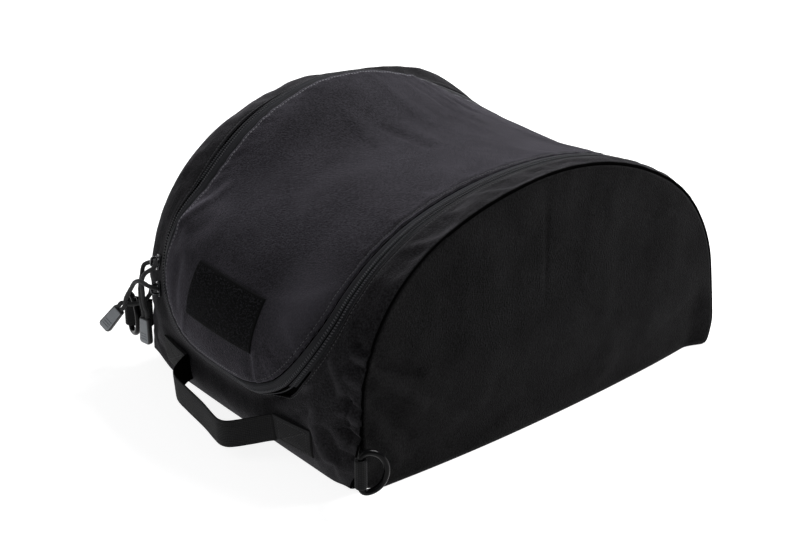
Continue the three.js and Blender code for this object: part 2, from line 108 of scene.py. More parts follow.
# Topstitching: how far it runs from the edges of the lid, the strips and the back, and its stitches.
LID_STITCH = 2.8
STRIP_STITCH = 2.4
HINGE_STITCH = 4.0
STITCH_SHARE = 0.78
STITCH_SUNK = 0.25
LIP_STITCH_END = 25.0
# Both stretches use the sewing thread toned lighter, most on the lip: painted highlight on the stitches.
LID_TOPSTITCH = (
    # stretch, tone of its thread, width of a stitch
    ("lip", 5.0, 0.75),
    ("right", 1.8, 0.6),
)

# Zip: the tape's edge under the lid, its thickness, and the coil's teeth on both sides of the middle line.
TAPE_UNDER_LID = 1.5
TAPE_THICK = 0.8
COIL_OFF = 1.9
COIL_SLANT = 0.25
COIL_TONE = 2.8
TOOTH_LENGTH = 2.2
TOOTH_SHARE = 0.55
TOOTH_HEIGHT = 0.6

# Cloth whose mark is this far below 0 gets near-black painted shade: in seam grooves, gaps and faces that lie
# in shadow.
PAINTED_SHADE_BELOW = 0.5
PAINTED_SHADE_COLOUR = (0.0005, 0.0005, 0.0005)

# Steps from an edge where cloth turns over.
EDGE_STEPS = np.array([0.0, 0.35, 0.8, 1.4, 2.2, 3.2])

# How far the cloth beside the zip laps over its outer tape.
LAP = np.array([
    # along, left, right
    (0, 11, 11), (64, 11, 11), (66, 11.5, 9.6), (70, 12, 7.8), (74, 12, 5), (78, 12, 3.1), (84, 12, 3.4),
    (88, 12, 4.2), (95, 11.5, 4.5), (135, 9, 4.5), (165, 8.5, 4.5), (195, 6, 4.5), (235, 3, 4),
    (265, 4, 4), (295, 7, 3.5), (325, 8.5, 3), (355, 5, 3), (400, 2, 3), (520, 2, 2),
], float)

# Folds of the lid and of the body, each a soft ridge between two places of the flattened cloth.
LID_FOLDS = (
    # x, along, x, along, height, width
    (-98, 138, -82, 164, 2.0, 4.0),
    (-82, 164, -74, 182, 1.1, 5.0),
    (-92, 128, -58, 150, -1.6, 9.0),
    (-28, 309, 26, 318, -0.9, 4.5),
    (-98, 398, -50, 416, 0.9, 3.5),
    (-92, 412, -40, 432, -0.9, 3.5),
    (-84, 384, -36, 398, -0.7, 3.0),
    (-70, 430, -20, 452, 0.8, 4.0),
    (47, 94, 51, 68, 1.5, 2.6),
    (42, 88, 44, 68, -0.9, 4.0),
    (-47, 90, -52, 72, 0.9, 3.0),
    (-70, 120, -64, 88, -1.0, 6.0),
    (66, 122, 84, 108, 0.8, 4.0),
    (58, 100, 74, 92, -0.8, 4.0),
)
BODY_FOLDS = (
    # x, along, x, along, height, width
    (106, 70, 102, 51, 1.8, 4.0),
    (102, 51, 105, 39, 2.6, 3.4),
    (105, 39, 114, 22, 2.6, 3.4),
    (112, 54, 122, 27, -2.0, 4.5),
    (113, 109, 125, 97, 2.4, 2.8),
    (125, 97, 128, 88, 1.8, 2.8),
    (131, 88, 130, 62, -3.0, 3.6),
    (130, 62, 132, 44, -2.6, 3.6),
    (93, 81, 103, 87, 1.8, 2.8),
    (84, 52, 100, 66, -1.4, 5.0),
    (128, 128, 141, 123, -2.6, 2.0),
    (128, 119, 141, 117, 2.2, 2.4),
    (128, 113, 141, 110, -2.8, 2.0),
    (127, 102, 141, 96, 2.0, 2.8),
    (128, 84, 141, 76, -2.8, 2.2),
    (126, 72, 141, 66, 2.2, 2.6),
    (126, 58, 141, 52, -2.8, 2.2),
    (124, 48, 141, 42, 2.0, 2.4),
    (122, 36, 141, 34, -2.2, 2.2),
    (-98, 50, -124, 30, 1.6, 5.0),
    (-124, 92, -141, 80, 1.4, 3.4),
    (-124, 60, -141, 50, -1.6, 3.4),
)

# How a fold runs out at its ends, and how wide its crest's painted highlight and its valley's painted shade
# are for its width.
FOLD_END = 0.6
CREST_HIGHLIGHT_WIDTH = 0.7
VALLEY_SHADE_WIDTH = 0.35

# Ripples of the cloth, each with its height, its width and the start of its random draw.
LID_RIPPLES = ((0.8, 70, 11), (0.3, 26, 12), (0.1, 9, 13))
BODY_RIPPLES = ((0.7, 55, 21), (0.3, 20, 22), (0.1, 8, 23))

# Gathers beside the seams: pitch, depth, reach and start of the random draw, which the ends set by side.
LID_PUCKERS = (15, 0.4, 10, 14)
LID_PINCHES = (9, 0.8, 6, 15)
BODY_PUCKERS = (19, 0.35, 10, 24)
END_PUCKERS = (21, 0.45, 9)

# Where the lid is gathered and where painted light brightens it, as x, along and the reach of each; where its
# edge's painted highlight lies.
LID_GATHERED = (80, 100, 32, 36)
LID_PAINTED_LIGHT = (72, 138, 26, 34)
LID_EDGE_HIGHLIGHT = 1.3

# How deep the cloth is tucked in below the lid's lip, and in the gap below the lip's right corner.
LIP_TUCK = 3.0
CORNER_GAP = 8.0
CORNER_GAP_PLACE = (64, 66, 24, 24)

# How deep the back's top edge goes where it reaches under the lid and the strips.
HINGE_TUCK = 5.0

# Soft folds of the ends, which fan out from the front corner.
END_FOLDS = (
    # y, z, y, z, height, width
    (-188, 113, -142, 90, -2.0, 4.5),
    (-188, 100, -140, 62, 2.2, 6.0),
    (-187, 84, -148, 36, -2.0, 6.0),
    (-152, 72, -108, 34, 1.2, 8.0),
    (-186, 60, -160, 18, 1.6, 6.0),
)

# How the front corners of the foot are drawn in and lifted where the cloth is gathered.
CORNER_TUCK = {
    # side: inward, lift, height, where it starts across, how far back it reaches
    -1: (0.0, 10.0, 40.0, 110.0, 50.0),
    1: (11.0, 3.0, 30.0, 104.0, 26.0),
}

# How the back of the foot is rounded in.
BACK_TUCK = 9.0
BACK_TUCK_HEIGHT = 30.0
BACK_TUCK_START = 110.0
BACK_TUCK_OVER = 85.0

# Line of the ends' feet on the floor: widest a little before the middle, drawn in at both corners.
FOOT_WIDEST = (145.0, -40.0)
FOOT_DRAWN = {
    # -1 before the widest place, 1 behind it: how far in, over what length
    -1: (5.0, 130.0),
    1: (11.0, 220.0),
}

# Spacing of the points round an end, the middle of its panel in Y and Z, and how it stands out and bulges.
END_STEP = 3.5
END_MIDDLE = np.array([0.0, 92.0])
END_PROUD = 0.6
END_BULGE = 4.0
END_THICK = 3.6

# Side of the bag, height of the ring's middle, and the way it lies as a turn about +Z from +X.
RINGS = (
    # name, side, middle z, turn
    ("right", 1, 36.0, math.radians(66.0)),
    ("left", -1, 44.0, math.radians(-13.5)),
)
RING_AWAY = (0.8, -0.6)
RING_REACH = 20.0
RING_HALF_HEIGHT = 17.5
RING_CORNER = 5.0
RING_DEPTH = 20.0

# Each slider's row on the left leg of the zip, its grip's top and tip and where the grip's face looks,
# and the points that its cord runs through on the way to the slider and back.
PULLS = (
    {
        "name": "upper",
        "row": 110.0,
        "top": (-108, -226, 63),
        "tip": (-108, -226.5, 39),
        "faces": (0.18, -0.98, 0.0),
        "out_strand": ((-107.6, -226.5, 74), (-109.8, -226, 86), (-108.6, -226.5, 98), (-103, -226, 106),
                       (-98.4, -221, 111)),
        "back_strand": ((-115.4, -219.5, 106.5), (-114.6, -223, 98), (-114.4, -225.5, 86),
                        (-111.8, -226.5, 74)),
    },
    {
        "name": "lower",
        "row": 95.0,
        "top": (-124.6, -240, 69),
        "tip": (-137, -251, 47.5),
        "faces": (0.43, -0.9, 0.2),
        "out_strand": ((-119.8, -236.4, 79), (-115.2, -233.8, 89), (-109, -233, 97.5), (-101.5, -232.5, 101),
                       (-95, -229.5, 98.5)),
        "back_strand": ((-111, -216.5, 86.5), (-113.2, -217.5, 79), (-115.5, -223.5, 73.5),
                        (-119.6, -232, 72.5)),
    },
)

# Sizes of the grips, of the strands of cord at their mouths, and of the sliders.
GRIP_LENGTH = 24.0
GRIP_WIDTH = 12.0
GRIP_THICK = 5.5
GRIP_MOUTH_CORNER = 0.45
GRIP_RIB = 3.4
GRIP_RIB_ROWS = (-7.2, -4.8, -2.4)
SHARP_ANGLE = math.radians(50.0)
STRAND_GAP = 3.8
STRAND_LEAD = 5.0
SLIDER_LENGTH = 13.0
SLIDER_WIDTH = 9.0
SLIDER_PLATE = 2.2
SLIDER_BRIDGE = 3.6
SLIDER_HOLE = (6.0, 4.6)
SLIDER_WALL = 1.6

# Carry handle: its sewn tabs, the way it hangs and leans, its ribs, and how far it bows out.
HANDLE_INNER = 60.0
HANDLE_OUTER = 99.0
HANDLE_LOW = 21.0
HANDLE_DIP = math.radians(16.0)
HANDLE_LEAN = math.radians(5.0)
HANDLE_RIB = 0.1
HANDLE_RIB_PITCH = 2.1
HANDLE_SEAT = 0.25
HANDLE_BOW = np.array([
    # x, out
    (-60, 0), (-57, 9.5), (-53, 17), (-46, 21), (-30, 23.5), (0, 27), (20, 30.5), (28, 31), (35, 28),
    (46, 16), (55, 5), (60, 0),
], float)

# Patch of loop pile: its place on the lid, its stitches and its loops.
PATCH_HALF = 43.5
PATCH_LOW = 91.0
PATCH_HIGH = 128.0
PATCH_TOP = 1.3
PATCH_STITCH = 1.8
PILE_COUNT = 1200
PILE_BORDER = 2.2
PILE_TONE = 17.0
PILE_TIP = (1.3, 0.8, 0.8)

# Studio: the camera, the pale floor and the soft light, in metres.
CAMERA_PLACE = (1.1483, -0.9929, 0.8504)
CAMERA_AZIMUTH = math.radians(50.407)
CAMERA_ELEVATION = math.radians(26.944)
CAMERA_LENS = 90.41
CAMERA_SENSOR = 36.0
CAMERA_CLIP = (0.05, 50.0)
FLOOR_REACH = 8.0
FLOOR_DROP = 0.0006
ROOM_COLOUR = (0.97, 0.98, 1.0, 1.0)
SOFTBOXES = (
    # name, setting that holds its power, size, place
    ("top_softbox", "top_light", 1.3, (0.35, 1.42, 1.8)),
    ("front_softbox", "front_light", 1.6, (-0.25, -1.7, 1.0)),
)


class HelmetBagSizes(bpy.types.PropertyGroup):
    """Sizes of the bag's trim."""

    zip_band: bpy.props.FloatProperty(
        name="Zip width", description="Width of the two zip tapes together",
        default=0.019, min=0.01, unit="LENGTH")
    lid_wall: bpy.props.FloatProperty(
        name="Lid thickness", description="Thickness of the padded lid",
        default=0.004, min=0.001, unit="LENGTH")
    webbing: bpy.props.FloatProperty(
        name="Webbing width", description="Width of the handle and of the ring tabs",
        default=0.025, min=0.01, unit="LENGTH")
    ply: bpy.props.FloatProperty(
        name="Webbing thickness", description="Thickness of one ply of webbing",
        default=0.0018, min=0.0005, unit="LENGTH")
    ring_wire: bpy.props.FloatProperty(
        name="Ring wire", description="Diameter of the D-rings' wire",
        default=0.005, min=0.001, unit="LENGTH")
    cord: bpy.props.FloatProperty(
        name="Pull cord", description="Diameter of the braided pull cords",
        default=0.0037, min=0.001, unit="LENGTH")
    stitch: bpy.props.FloatProperty(
        name="Stitch length", description="Pitch of the seams' stitches",
        default=0.0029, min=0.001, unit="LENGTH")
    tooth: bpy.props.FloatProperty(
        name="Zip tooth pitch", description="Pitch of the zip's coil",
        default=0.0019, min=0.0008, unit="LENGTH")
    wrinkle: bpy.props.FloatProperty(
        name="Wrinkle depth", description="Share of the cloth's folds and puckers that is kept",
        default=1.0, min=0.0, max=2.0, subtype="FACTOR")


class HelmetBagColours(bpy.types.PropertyGroup):
    """Colours of the bag's cloth and trim."""

    lid: bpy.props.FloatVectorProperty(
        name="Lid cloth", description="Colour of the lid's cloth", subtype="COLOR", size=3,
        default=(0.0116, 0.0109, 0.013), min=0, max=1)
    # The lid's cloth set darker, standing in for the strips' dimmer light: painted shade.
    body: bpy.props.FloatVectorProperty(
        name="Body cloth", description="Colour of the panels round the lid", subtype="COLOR", size=3,
        default=(0.0094, 0.0091, 0.01), min=0, max=1)
    # The same cloth set darker still, standing in for the ends' dimmer light: painted shade.
    ends: bpy.props.FloatVectorProperty(
        name="End cloth", description="Colour of the D-shaped ends", subtype="COLOR", size=3,
        default=(0.0048, 0.0047, 0.0049), min=0, max=1)
    webbing: bpy.props.FloatVectorProperty(
        name="Webbing", description="Colour of the handle and the ring tabs", subtype="COLOR", size=3,
        default=(0.007, 0.007, 0.0073), min=0, max=1)
    tape: bpy.props.FloatVectorProperty(
        name="Zip tape", description="Colour of the zip's tapes", subtype="COLOR", size=3,
        default=(0.0118, 0.012, 0.0136), min=0, max=1)
    pile: bpy.props.FloatVectorProperty(
        name="Loop pile", description="Colour of the patch", subtype="COLOR", size=3,
        default=(0.0008, 0.0008, 0.0009), min=0, max=1)
    thread: bpy.props.FloatVectorProperty(
        name="Thread", description="Colour of the seams' thread", subtype="COLOR", size=3,
        default=(0.028, 0.028, 0.03), min=0, max=1)
    gloss: bpy.props.FloatVectorProperty(
        name="Rings", description="Colour of the D-rings", subtype="COLOR", size=3,
        default=(0.0022, 0.0022, 0.0024), min=0, max=1)
    metal: bpy.props.FloatVectorProperty(
        name="Sliders", description="Colour of the zip sliders", subtype="COLOR", size=3,
        default=(0.035, 0.036, 0.038), min=0, max=1)
    cord: bpy.props.FloatVectorProperty(
        name="Pull cords", description="Colour of the braided cords", subtype="COLOR", size=3,
        default=(0.012, 0.012, 0.0125), min=0, max=1)
    grip: bpy.props.FloatVectorProperty(
        name="Pull grips", description="Colour of the grips' pale faces", subtype="COLOR", size=3,
        default=(0.15, 0.16, 0.17), min=0, max=1)


class HelmetBagStage(bpy.types.PropertyGroup):
    """Floor and light of the studio."""

    floor: bpy.props.FloatVectorProperty(
        name="Floor", description="Colour of the pale floor", subtype="COLOR", size=3,
        default=(0.4, 0.4, 0.4), min=0, max=1)
    glow: bpy.props.FloatProperty(
        name="Floor glow", description="Light that the floor gives by itself, as a light table does",
        default=0.86, min=0)
    top_light: bpy.props.FloatProperty(
        name="Top light", description="Power of the soft light overhead, in watts",
        default=112.0, min=0)
    front_light: bpy.props.FloatProperty(
        name="Front light", description="Power of the soft light before the bag, in watts",
        default=7.6, min=0)
    sky: bpy.props.FloatProperty(
        name="Room light", description="Strength of the light from all round",
        default=0.2, min=0)


def ease(share):
    """Soft step from 0 to 1."""
    share = np.clip(share, 0, 1)
    return share * share * (3 - 2 * share)


def rise(value, start, over):
    """Soft step up that begins at a start."""
    return ease((value - start) / over)


def fall(value, end, over):
    """Soft step down that is over at an end."""
    return ease((end - value) / over)


def peak(value, middle, wide):
    """Soft hump of height 1."""
    return np.exp(-((value - middle) / wide) ** 2)


def tail(value, start, reach):
    """1 up to a start, then fading away."""
    return np.exp(-(np.maximum(value - start, 0) / reach) ** 2)


def spot(x, along, place):
    """Soft hump of height 1 over a place of the flattened cloth."""
    middle_x, middle_along, wide, long = place
    return np.exp(-((x - middle_x) / wide) ** 2 - ((along - middle_along) / long) ** 2)


def by_sign(value, choices):
    """One of two rows of numbers: the first for negative values, the second for the others."""
    return [np.where(value < 0, below, above) for below, above in zip(choices[-1], choices[1])]


def unit(vectors):
    """Vectors scaled to length one."""
    return vectors / np.maximum(np.linalg.norm(vectors, axis=-1, keepdims=True), 1e-12)


def walked(path):
    """Distance walked along a path, from 0 at its first point."""
    return np.concatenate([[0], np.cumsum(np.linalg.norm(np.diff(path, axis=0), axis=1))])


def even(start, end, step):
    """Numbers about a step apart, both ends included."""
    return np.linspace(start, end, max(2, round(abs(end - start) / step)) + 1)


def with_edges(start, end, step):
    """Numbers about a step apart, and closer together near both ends, where the cloth turns over."""
    way = 1 if end > start else -1
    near = EDGE_STEPS[EDGE_STEPS < abs(end - start) / 2 - 0.5]
    middle = even(start + way * (near[-1] + 1), end - way * (near[-1] + 1), step)
    return np.concatenate([start + way * near, middle, end - way * near[::-1]])


def hermite(rows, column, value):
    """Cubic through a table's column, with the slope at each row taken from its neighbours."""
    xs, ys = rows[:, 0], rows[:, column]
    last = len(xs) - 1
    i = np.clip(np.searchsorted(xs[1:last], value, side="left"), 0, last - 1)
    before, after = np.maximum(np.arange(last + 1) - 1, 0), np.minimum(np.arange(last + 1) + 1, last)
    slope = (ys[after] - ys[before]) / (xs[after] - xs[before])
    span = xs[i + 1] - xs[i]
    t = np.clip((value - xs[i]) / span, 0, 1)
    start = (1 + 2 * t) * (1 - t) ** 2 * ys[i] + t * (1 - t) ** 2 * span * slope[i]
    end = t * t * (3 - 2 * t) * ys[i + 1] + t * t * (t - 1) * span * slope[i + 1]
    return start + end


def arch_at(along):
    """Points of the arch and their outward directions, in the plane of Y and Z."""
    along = np.asarray(along, float)
    heading, y, z, start = FRONT_HEADING, FRONT_FOOT_Y, 0.0, 0.0
    out_heading = np.full(along.shape, heading)
    out_y, out_z = np.full(along.shape, y), np.full(along.shape, z)
    for length, degrees in (*ARCH, (ARCH_LENGTH, 0.0)):
        turn = math.radians(degrees)
        inside = along >= start
        share = np.clip((along - start) / length, 0, 1)
        bend = turn * share
        chord = length * share * np.sinc(bend / 2 / math.pi)
        out_y = np.where(inside, y + chord * np.cos(heading - bend / 2), out_y)
        out_z = np.where(inside, z + chord * np.sin(heading - bend / 2), out_z)
        out_heading = np.where(inside, heading - bend, out_heading)
        whole = length * np.sinc(turn / 2 / math.pi)
        y, z = y + whole * math.cos(heading - turn / 2), z + whole * math.sin(heading - turn / 2)
        heading, start = heading - turn, start + length
    return out_y, out_z, -np.sin(out_heading), np.cos(out_heading)


def skin(x, along, depth=0.0):
    """Points of the bag's skin in millimetres, at a depth below it; the foot is flat on the floor."""
    x, along, depth = np.broadcast_arrays(np.asarray(x, float), along, depth)
    y, z, out_y, out_z = arch_at(along)
    share = np.minimum(1, np.abs(x) / RIM_X)
    full = 1 - share ** SWELL_FULLNESS
    beside = SIDE_HUMP * share ** 2 * (1 - share)
    lift = np.where(x < 0, hermite(SWELL, 2, along), hermite(SWELL, 3, along)) * beside
    rim = hermite(SWELL, 4, along) * np.clip((x + RIM_X) / RIM_RAISED_OVER, 0, 1)
    reach = np.where(x > -LID_HALF, *LEFT_EDGE_REACH)
    edge = hermite(LEFT_EDGE, 1, along) * peak(x, -LID_HALF, reach)
    left_rim = hermite(LEFT_EDGE, 2, along) * ease((-x - LID_HALF) / (RIM_X - LID_HALF))
    out = hermite(SWELL, 1, along) * full + rim + lift + edge + left_rim - depth
    return np.stack([x, y + out_y * out, np.maximum(0.0, z + out_z * out)], -1)


def lid_corner(x):
    """Radius of the lid's lower corner on the left or the right."""
    return np.where(x < 0, LID_CORNER[-1], LID_CORNER[1])


def beyond_lid(x, along):
    """Signed distance outside the lid's outline, in the flattened cloth; negative on the lid."""
    corner = lid_corner(x)
    across = np.abs(x) - (LID_HALF - corner)
    below = LID_LIP + corner - along
    round_corner = np.hypot(np.maximum(across, 0), np.maximum(below, 0)) - corner
    straight = np.maximum(np.abs(x) - LID_HALF, LID_LIP - along)
    return np.where((across > 0) & (below > 0), round_corner, straight)


def lip_turn(x, along):
    """Degrees round the lid's right lower corner: 0 at the lip, 90 at the side."""
    corner = LID_CORNER[1]
    across, below = np.maximum(x - LID_HALF + corner, 0), np.maximum(LID_LIP + corner - along, 1e-6)
    return np.degrees(np.arctan2(across, below))


def lap_at(x, row):
    """How far the cloth laps over the zip at a row of the lid's edge, on the left or the right."""
    return np.where(x < 0, hermite(LAP, 1, row), hermite(LAP, 2, row))


def lap_over(x, along):
    """How far the cloth laps over the zip, beside the nearest place of the lid's edge."""
    corner = lid_corner(x)
    across, below = np.maximum(np.abs(x) - LID_HALF + corner, 0), LID_LIP + corner - along
    rounded = LID_LIP + corner * (1 - below / np.hypot(across, np.maximum(below, 1e-6)))
    return lap_at(x, np.where(below > 0, rounded, along))


def lid_edge(side, row, grow):
    """Place in the flattened cloth where a row meets the lid's outline, grown by an amount."""
    corner = LID_CORNER[side]
    centre = LID_LIP + corner
    turn = np.arccos(np.clip((centre - row) / corner, 0, 1))
    reach = corner + grow
    return side * (LID_HALF - corner + reach * np.sin(turn)), np.maximum(row, centre) - reach * np.cos(turn)


def zip_stations(step):
    """Places along the lid's outline, back left to back right, with the way out of the lid, step by step."""
    left, right = LID_CORNER[-1], LID_CORNER[1]
    stretches = []

    def straight(x0, a0, x1, a1, way):
        count = max(2, round(math.hypot(x1 - x0, a1 - a0) / step))
        share = np.arange(count) / count
        stretches.append(np.stack([x0 + (x1 - x0) * share, a0 + (a1 - a0) * share,
                                   np.full(count, way[0]), np.full(count, way[1])], -1))

    def quarter(centre_x, corner, start, end):
        count = max(4, round(corner * math.pi / 2 / step))
        angle = start + (end - start) * np.arange(count) / count
        way = np.stack([np.sin(angle), -np.cos(angle)], -1)
        place = np.array([centre_x, LID_LIP + corner]) + corner * way
        stretches.append(np.concatenate([place, way], -1))

    straight(-LID_HALF, LID_HINGE - GAP, -LID_HALF, LID_LIP + left, (-1.0, 0.0))
    quarter(left - LID_HALF, left, -math.pi / 2, 0.0)
    straight(left - LID_HALF, LID_LIP, LID_HALF - right, LID_LIP, (0.0, -1.0))
    quarter(LID_HALF - right, right, 0.0, math.pi / 2)
    straight(LID_HALF, LID_LIP + right, LID_HALF, LID_HINGE - GAP, (1.0, 0.0))
    stretches.append(np.array([[LID_HALF, LID_HINGE - GAP, 1.0, 0.0]]))
    return np.concatenate(stretches)


def ripple(u, v, cell, seed):
    """Smooth even noise from -1 to 1, with bumps about a cell across."""
    size = 64
    lattice = np.random.default_rng(seed).uniform(-1, 1, (size, size))
    u, v = np.asarray(u, float) / cell + size / 2, np.asarray(v, float) / cell + size / 2
    i, j = np.floor(u).astype(int), np.floor(v).astype(int)
    s, t = ease(u - i), ease(v - j)
    i, j, next_i, next_j = i % size, j % size, (i + 1) % size, (j + 1) % size
    low = lattice[i, j] * (1 - s) + lattice[next_i, j] * s
    high = lattice[i, next_j] * (1 - s) + lattice[next_i, next_j] * s
    return low * (1 - t) + high * t


def rippled(table, u, v):
    """Sum of a table's ripples."""
    return sum(tall * ripple(u, v, cell, seed) for tall, cell, seed in table)


def folds(table, x, along):
    """Height of folds at places of the flattened cloth; painted light 1 (highlight) on crests, -1 (shade) in
    valleys.
    """
    height, crest_and_valley_light = np.zeros(np.shape(x)), np.zeros(np.shape(x))
    for x0, a0, x1, a1, tall, wide in table:
        way = np.array([x1 - x0, a1 - a0], float)
        length = np.hypot(*way)
        share = ((x - x0) * way[0] + (along - a0) * way[1]) / length ** 2
        off = np.abs((x - x0) * way[1] - (along - a0) * way[0]) / length
        ends = ease(np.minimum(share, 1 - share) * length / (2 * wide) + FOLD_END)
        height += tall * peak(off, 0, wide) * ends
        mark = np.sign(tall) * peak(off, 0, wide * (CREST_HIGHLIGHT_WIDTH if tall > 0 else VALLEY_SHADE_WIDTH)) * ends
        crest_and_valley_light = np.where(np.abs(mark) > np.abs(crest_and_valley_light), mark, crest_and_valley_light)
    return height, crest_and_valley_light


def puckers(walk, away, pitch, depth, reach, seed):
    """Gathers of cloth beside a seam: waves along it that fade away from it."""
    level, change, most, shift = 0.55, 0.8, 1.4, 2.2
    strength = np.clip(level + change * ripple(walk, walk * 0, 5 * pitch, seed), 0, most)
    phase = shift * ripple(walk, walk * 0 + 7, 2 * pitch, seed + 1)
    wave = np.sin(2 * math.pi * walk / pitch + phase)
    return depth * strength * wave * np.exp(-np.maximum(away, 0) / reach)


def rolled(away, radius):
    """Depth of a turned edge: a quarter round over the last few millimetres."""
    inside = np.clip(radius - away, 0, radius)
    return radius - np.sqrt(np.maximum(radius ** 2 - inside ** 2, 0))


class Field:
    """Heights on an even lattice, read anywhere between its points."""

    def __init__(self, u, v, heights):
        self.u, self.v, self.heights = u, v, heights

    def at(self, u, v):
        rows, columns = self.heights.shape
        s = np.clip((u - self.u[0]) / (self.u[1] - self.u[0]), 0, columns - 1.001)
        t = np.clip((v - self.v[0]) / (self.v[1] - self.v[0]), 0, rows - 1.001)
        i, j = s.astype(int), t.astype(int)
        s, t = s - i, t - j
        low = self.heights[j, i] * (1 - s) + self.heights[j, i + 1] * s
        high = self.heights[j + 1, i] * (1 - s) + self.heights[j + 1, i + 1] * s
        return low * (1 - t) + high * t


SETTLED = {}


def settled(name, u, v):
    """Height that a simulated sheet came to rest at, or none where it wasn't simulated."""
    return SETTLED[name].at(u, v) if name in SETTLED else np.zeros(np.shape(u))


def drape(surface, u, v, held, slack, cap):
    """Simulates a sheet a little too large for the edge that holds it; returns how far it moves outwards."""
    frames, swollen = 26, 0.01
    start = surface(*np.meshgrid(u, v))
    rows, columns = start.shape[:2]
    index = np.arange(rows * columns).reshape(rows, columns)
    faces = np.stack([index[:-1, :-1], index[:-1, 1:], index[1:, 1:], index[1:, :-1]], -1).reshape(-1, 4)
    mesh = bpy.data.meshes.new("sheet")
    mesh.from_pydata((start.reshape(-1, 3) * swollen).tolist(), [], faces.tolist())
    sheet = bpy.data.objects.new("sheet", mesh)
    scene = bpy.context.scene
    scene.collection.objects.link(sheet)
    group = sheet.vertex_groups.new(name="held")
    group.add(index[held].tolist(), 1.0, "REPLACE")
    cloth = sheet.modifiers.new("cloth", "CLOTH")
    cloth.settings.vertex_group_mass = "held"
    cloth.settings.quality = 5
    cloth.settings.mass = 0.3
    cloth.settings.tension_stiffness = cloth.settings.compression_stiffness = 15
    cloth.settings.shear_stiffness = 10
    cloth.settings.bending_stiffness = 1.5
    cloth.settings.air_damping = 4
    cloth.settings.shrink_min = cloth.settings.shrink_max = -slack
    cloth.settings.effector_weights.gravity = 0.15
    cloth.point_cache.frame_start, cloth.point_cache.frame_end = 1, frames
    for number in range(1, frames + 1):
        scene.frame_set(number)
    moved = np.zeros(rows * columns * 3)
    sheet.evaluated_get(bpy.context.evaluated_depsgraph_get()).data.vertices.foreach_get("co", moved)
    moved = moved.reshape(rows, columns, 3) / swollen - start
    scene.frame_set(1)
    bpy.data.objects.remove(sheet)
    bpy.data.meshes.remove(mesh)
    out = unit(np.cross(np.gradient(start, axis=1), np.gradient(start, axis=0)))
    return Field(u, v, np.clip(np.sum(moved * out, -1), -cap, cap))


def lip_tuck(x, along):
    """How far the zip's outer tape and the cloth beside it are tucked in below the lid's lip."""
    beyond = beyond_lid(x, along)
    lip = LIP_TUCK * fall(along, 150, 60) * rise(beyond, 0.5 + 7.5 * rise(x, 10, 40), 9)
    corner = CORNER_GAP * spot(x, along, CORNER_GAP_PLACE) * rise(beyond, 8.5, 4)
    return lip * tail(beyond, 18, 15) + corner * tail(beyond, 15, 6)


def tucked(points):
    """Moves points near the foot's front corners and its back with the gathered cloth."""
    x, y, z = np.moveaxis(points, -1, 0)
    inward, lift, height, start, reach = by_sign(x, CORNER_TUCK)
    share = rise(np.abs(x), start, RIM_X - start) * ease(1 - z / height)
    share = share * ease(1 - (y - FRONT_FOOT_Y) / reach)
    back = BACK_TUCK * rise(y, BACK_TUCK_START, BACK_TUCK_OVER) * np.clip(1 - z / BACK_TUCK_HEIGHT, 0, 1) ** 2
    return np.stack([x - np.sign(x) * inward * share, y - back, z + lift * share], -1)


def foot_line(y):
    """Distance of the ends' feet from the middle of the bag."""
    widest, middle = FOOT_WIDEST
    drawn, length = by_sign(y - middle, FOOT_DRAWN)
    return widest - drawn * ((y - middle) / length) ** 2


def lid_lift(x, along, share):
    """Height of the lid's folds, with painted highlight and wear on edge and crests, and painted shade in
    valleys and pinches.
    """
    inward = -beyond_lid(x, along)
    walk = along + np.abs(x)
    height, crest_and_valley_light = folds(LID_FOLDS, x, along)
    height = height + rippled(LID_RIPPLES, x, along) + puckers(walk, inward, *LID_PUCKERS)
    height = height + settled("lid", x, along)
    pinch = spot(x, along, LID_GATHERED) * puckers(walk, inward, *LID_PINCHES)
    # Painted highlight along the top of the edge's roll, painted light on the lower right, painted shade in
    # the pinches.
    edge = (0.2 + 1.5 * fall(x, 70, 60)) * peak(inward, LID_EDGE_HIGHLIGHT, 1.0)
    painted_light_patch = 1.2 * spot(x, along, LID_PAINTED_LIGHT)
    wear = np.clip(0.35 * crest_and_valley_light + edge + painted_light_patch, -0.3, 2) - np.clip(-1.2 * pinch, 0, 0.7)
    return share * (height + pinch), wear


def body_lift(x, along, share):
    """Height of the folds in the front, the side strips and the back, with painted highlight on crests and
    painted shade in valleys.
    """
    sharp, crest_and_valley_light = folds(BODY_FOLDS, x, along)
    from_rim = RIM_X - np.abs(x)
    soft = rippled(BODY_RIPPLES, x, along) + puckers(along, from_rim, *BODY_PUCKERS)
    soft = soft + settled("body", x, along)
    near = rise(from_rim, 0, 8)
    taut = 1 - 0.7 * fall(np.abs(x), 105, 25) * fall(along, 80, 15)
    height = soft * taut * (0.35 + 0.65 * near) + sharp * (0.8 + 0.2 * near)
    return share * height, np.maximum(0.8 * crest_and_valley_light, -0.4)


def new_piece(name, points, faces):
    """Smooth mesh object from points in millimetres, with no painted light or wear yet; drops corners that a
    face repeats.
    """
    mesh = bpy.data.meshes.new(name)
    listed = [tuple(dict.fromkeys(face)) for face in faces]
    mesh.from_pydata((np.asarray(points).reshape(-1, 3) * MM).tolist(), [], listed)
    mesh.attributes.new("wear", "FLOAT", "POINT")
    mesh.polygons.foreach_set("use_smooth", np.full(len(mesh.polygons), True))
    mesh.update()
    made = bpy.data.objects.new(name, mesh)
    bpy.context.scene.collection.objects.link(made)
    return made


def lay_flat(mesh, uv):
    """Keeps each point's place in the flattened cloth, given in millimetres, as the mesh's UV in metres."""
    order = np.zeros(len(mesh.loops), int)
    mesh.loops.foreach_get("vertex_index", order)
    mesh.uv_layers.new(name="cloth").data.foreach_set("uv", (uv[order] * MM).ravel())


def keep_painted_light_and_wear(mesh, wear):
    """Keeps each point's mark: above 0 painted highlight and wear, below 0 painted shade."""
    mesh.attributes["wear"].data.foreach_set("value", wear)


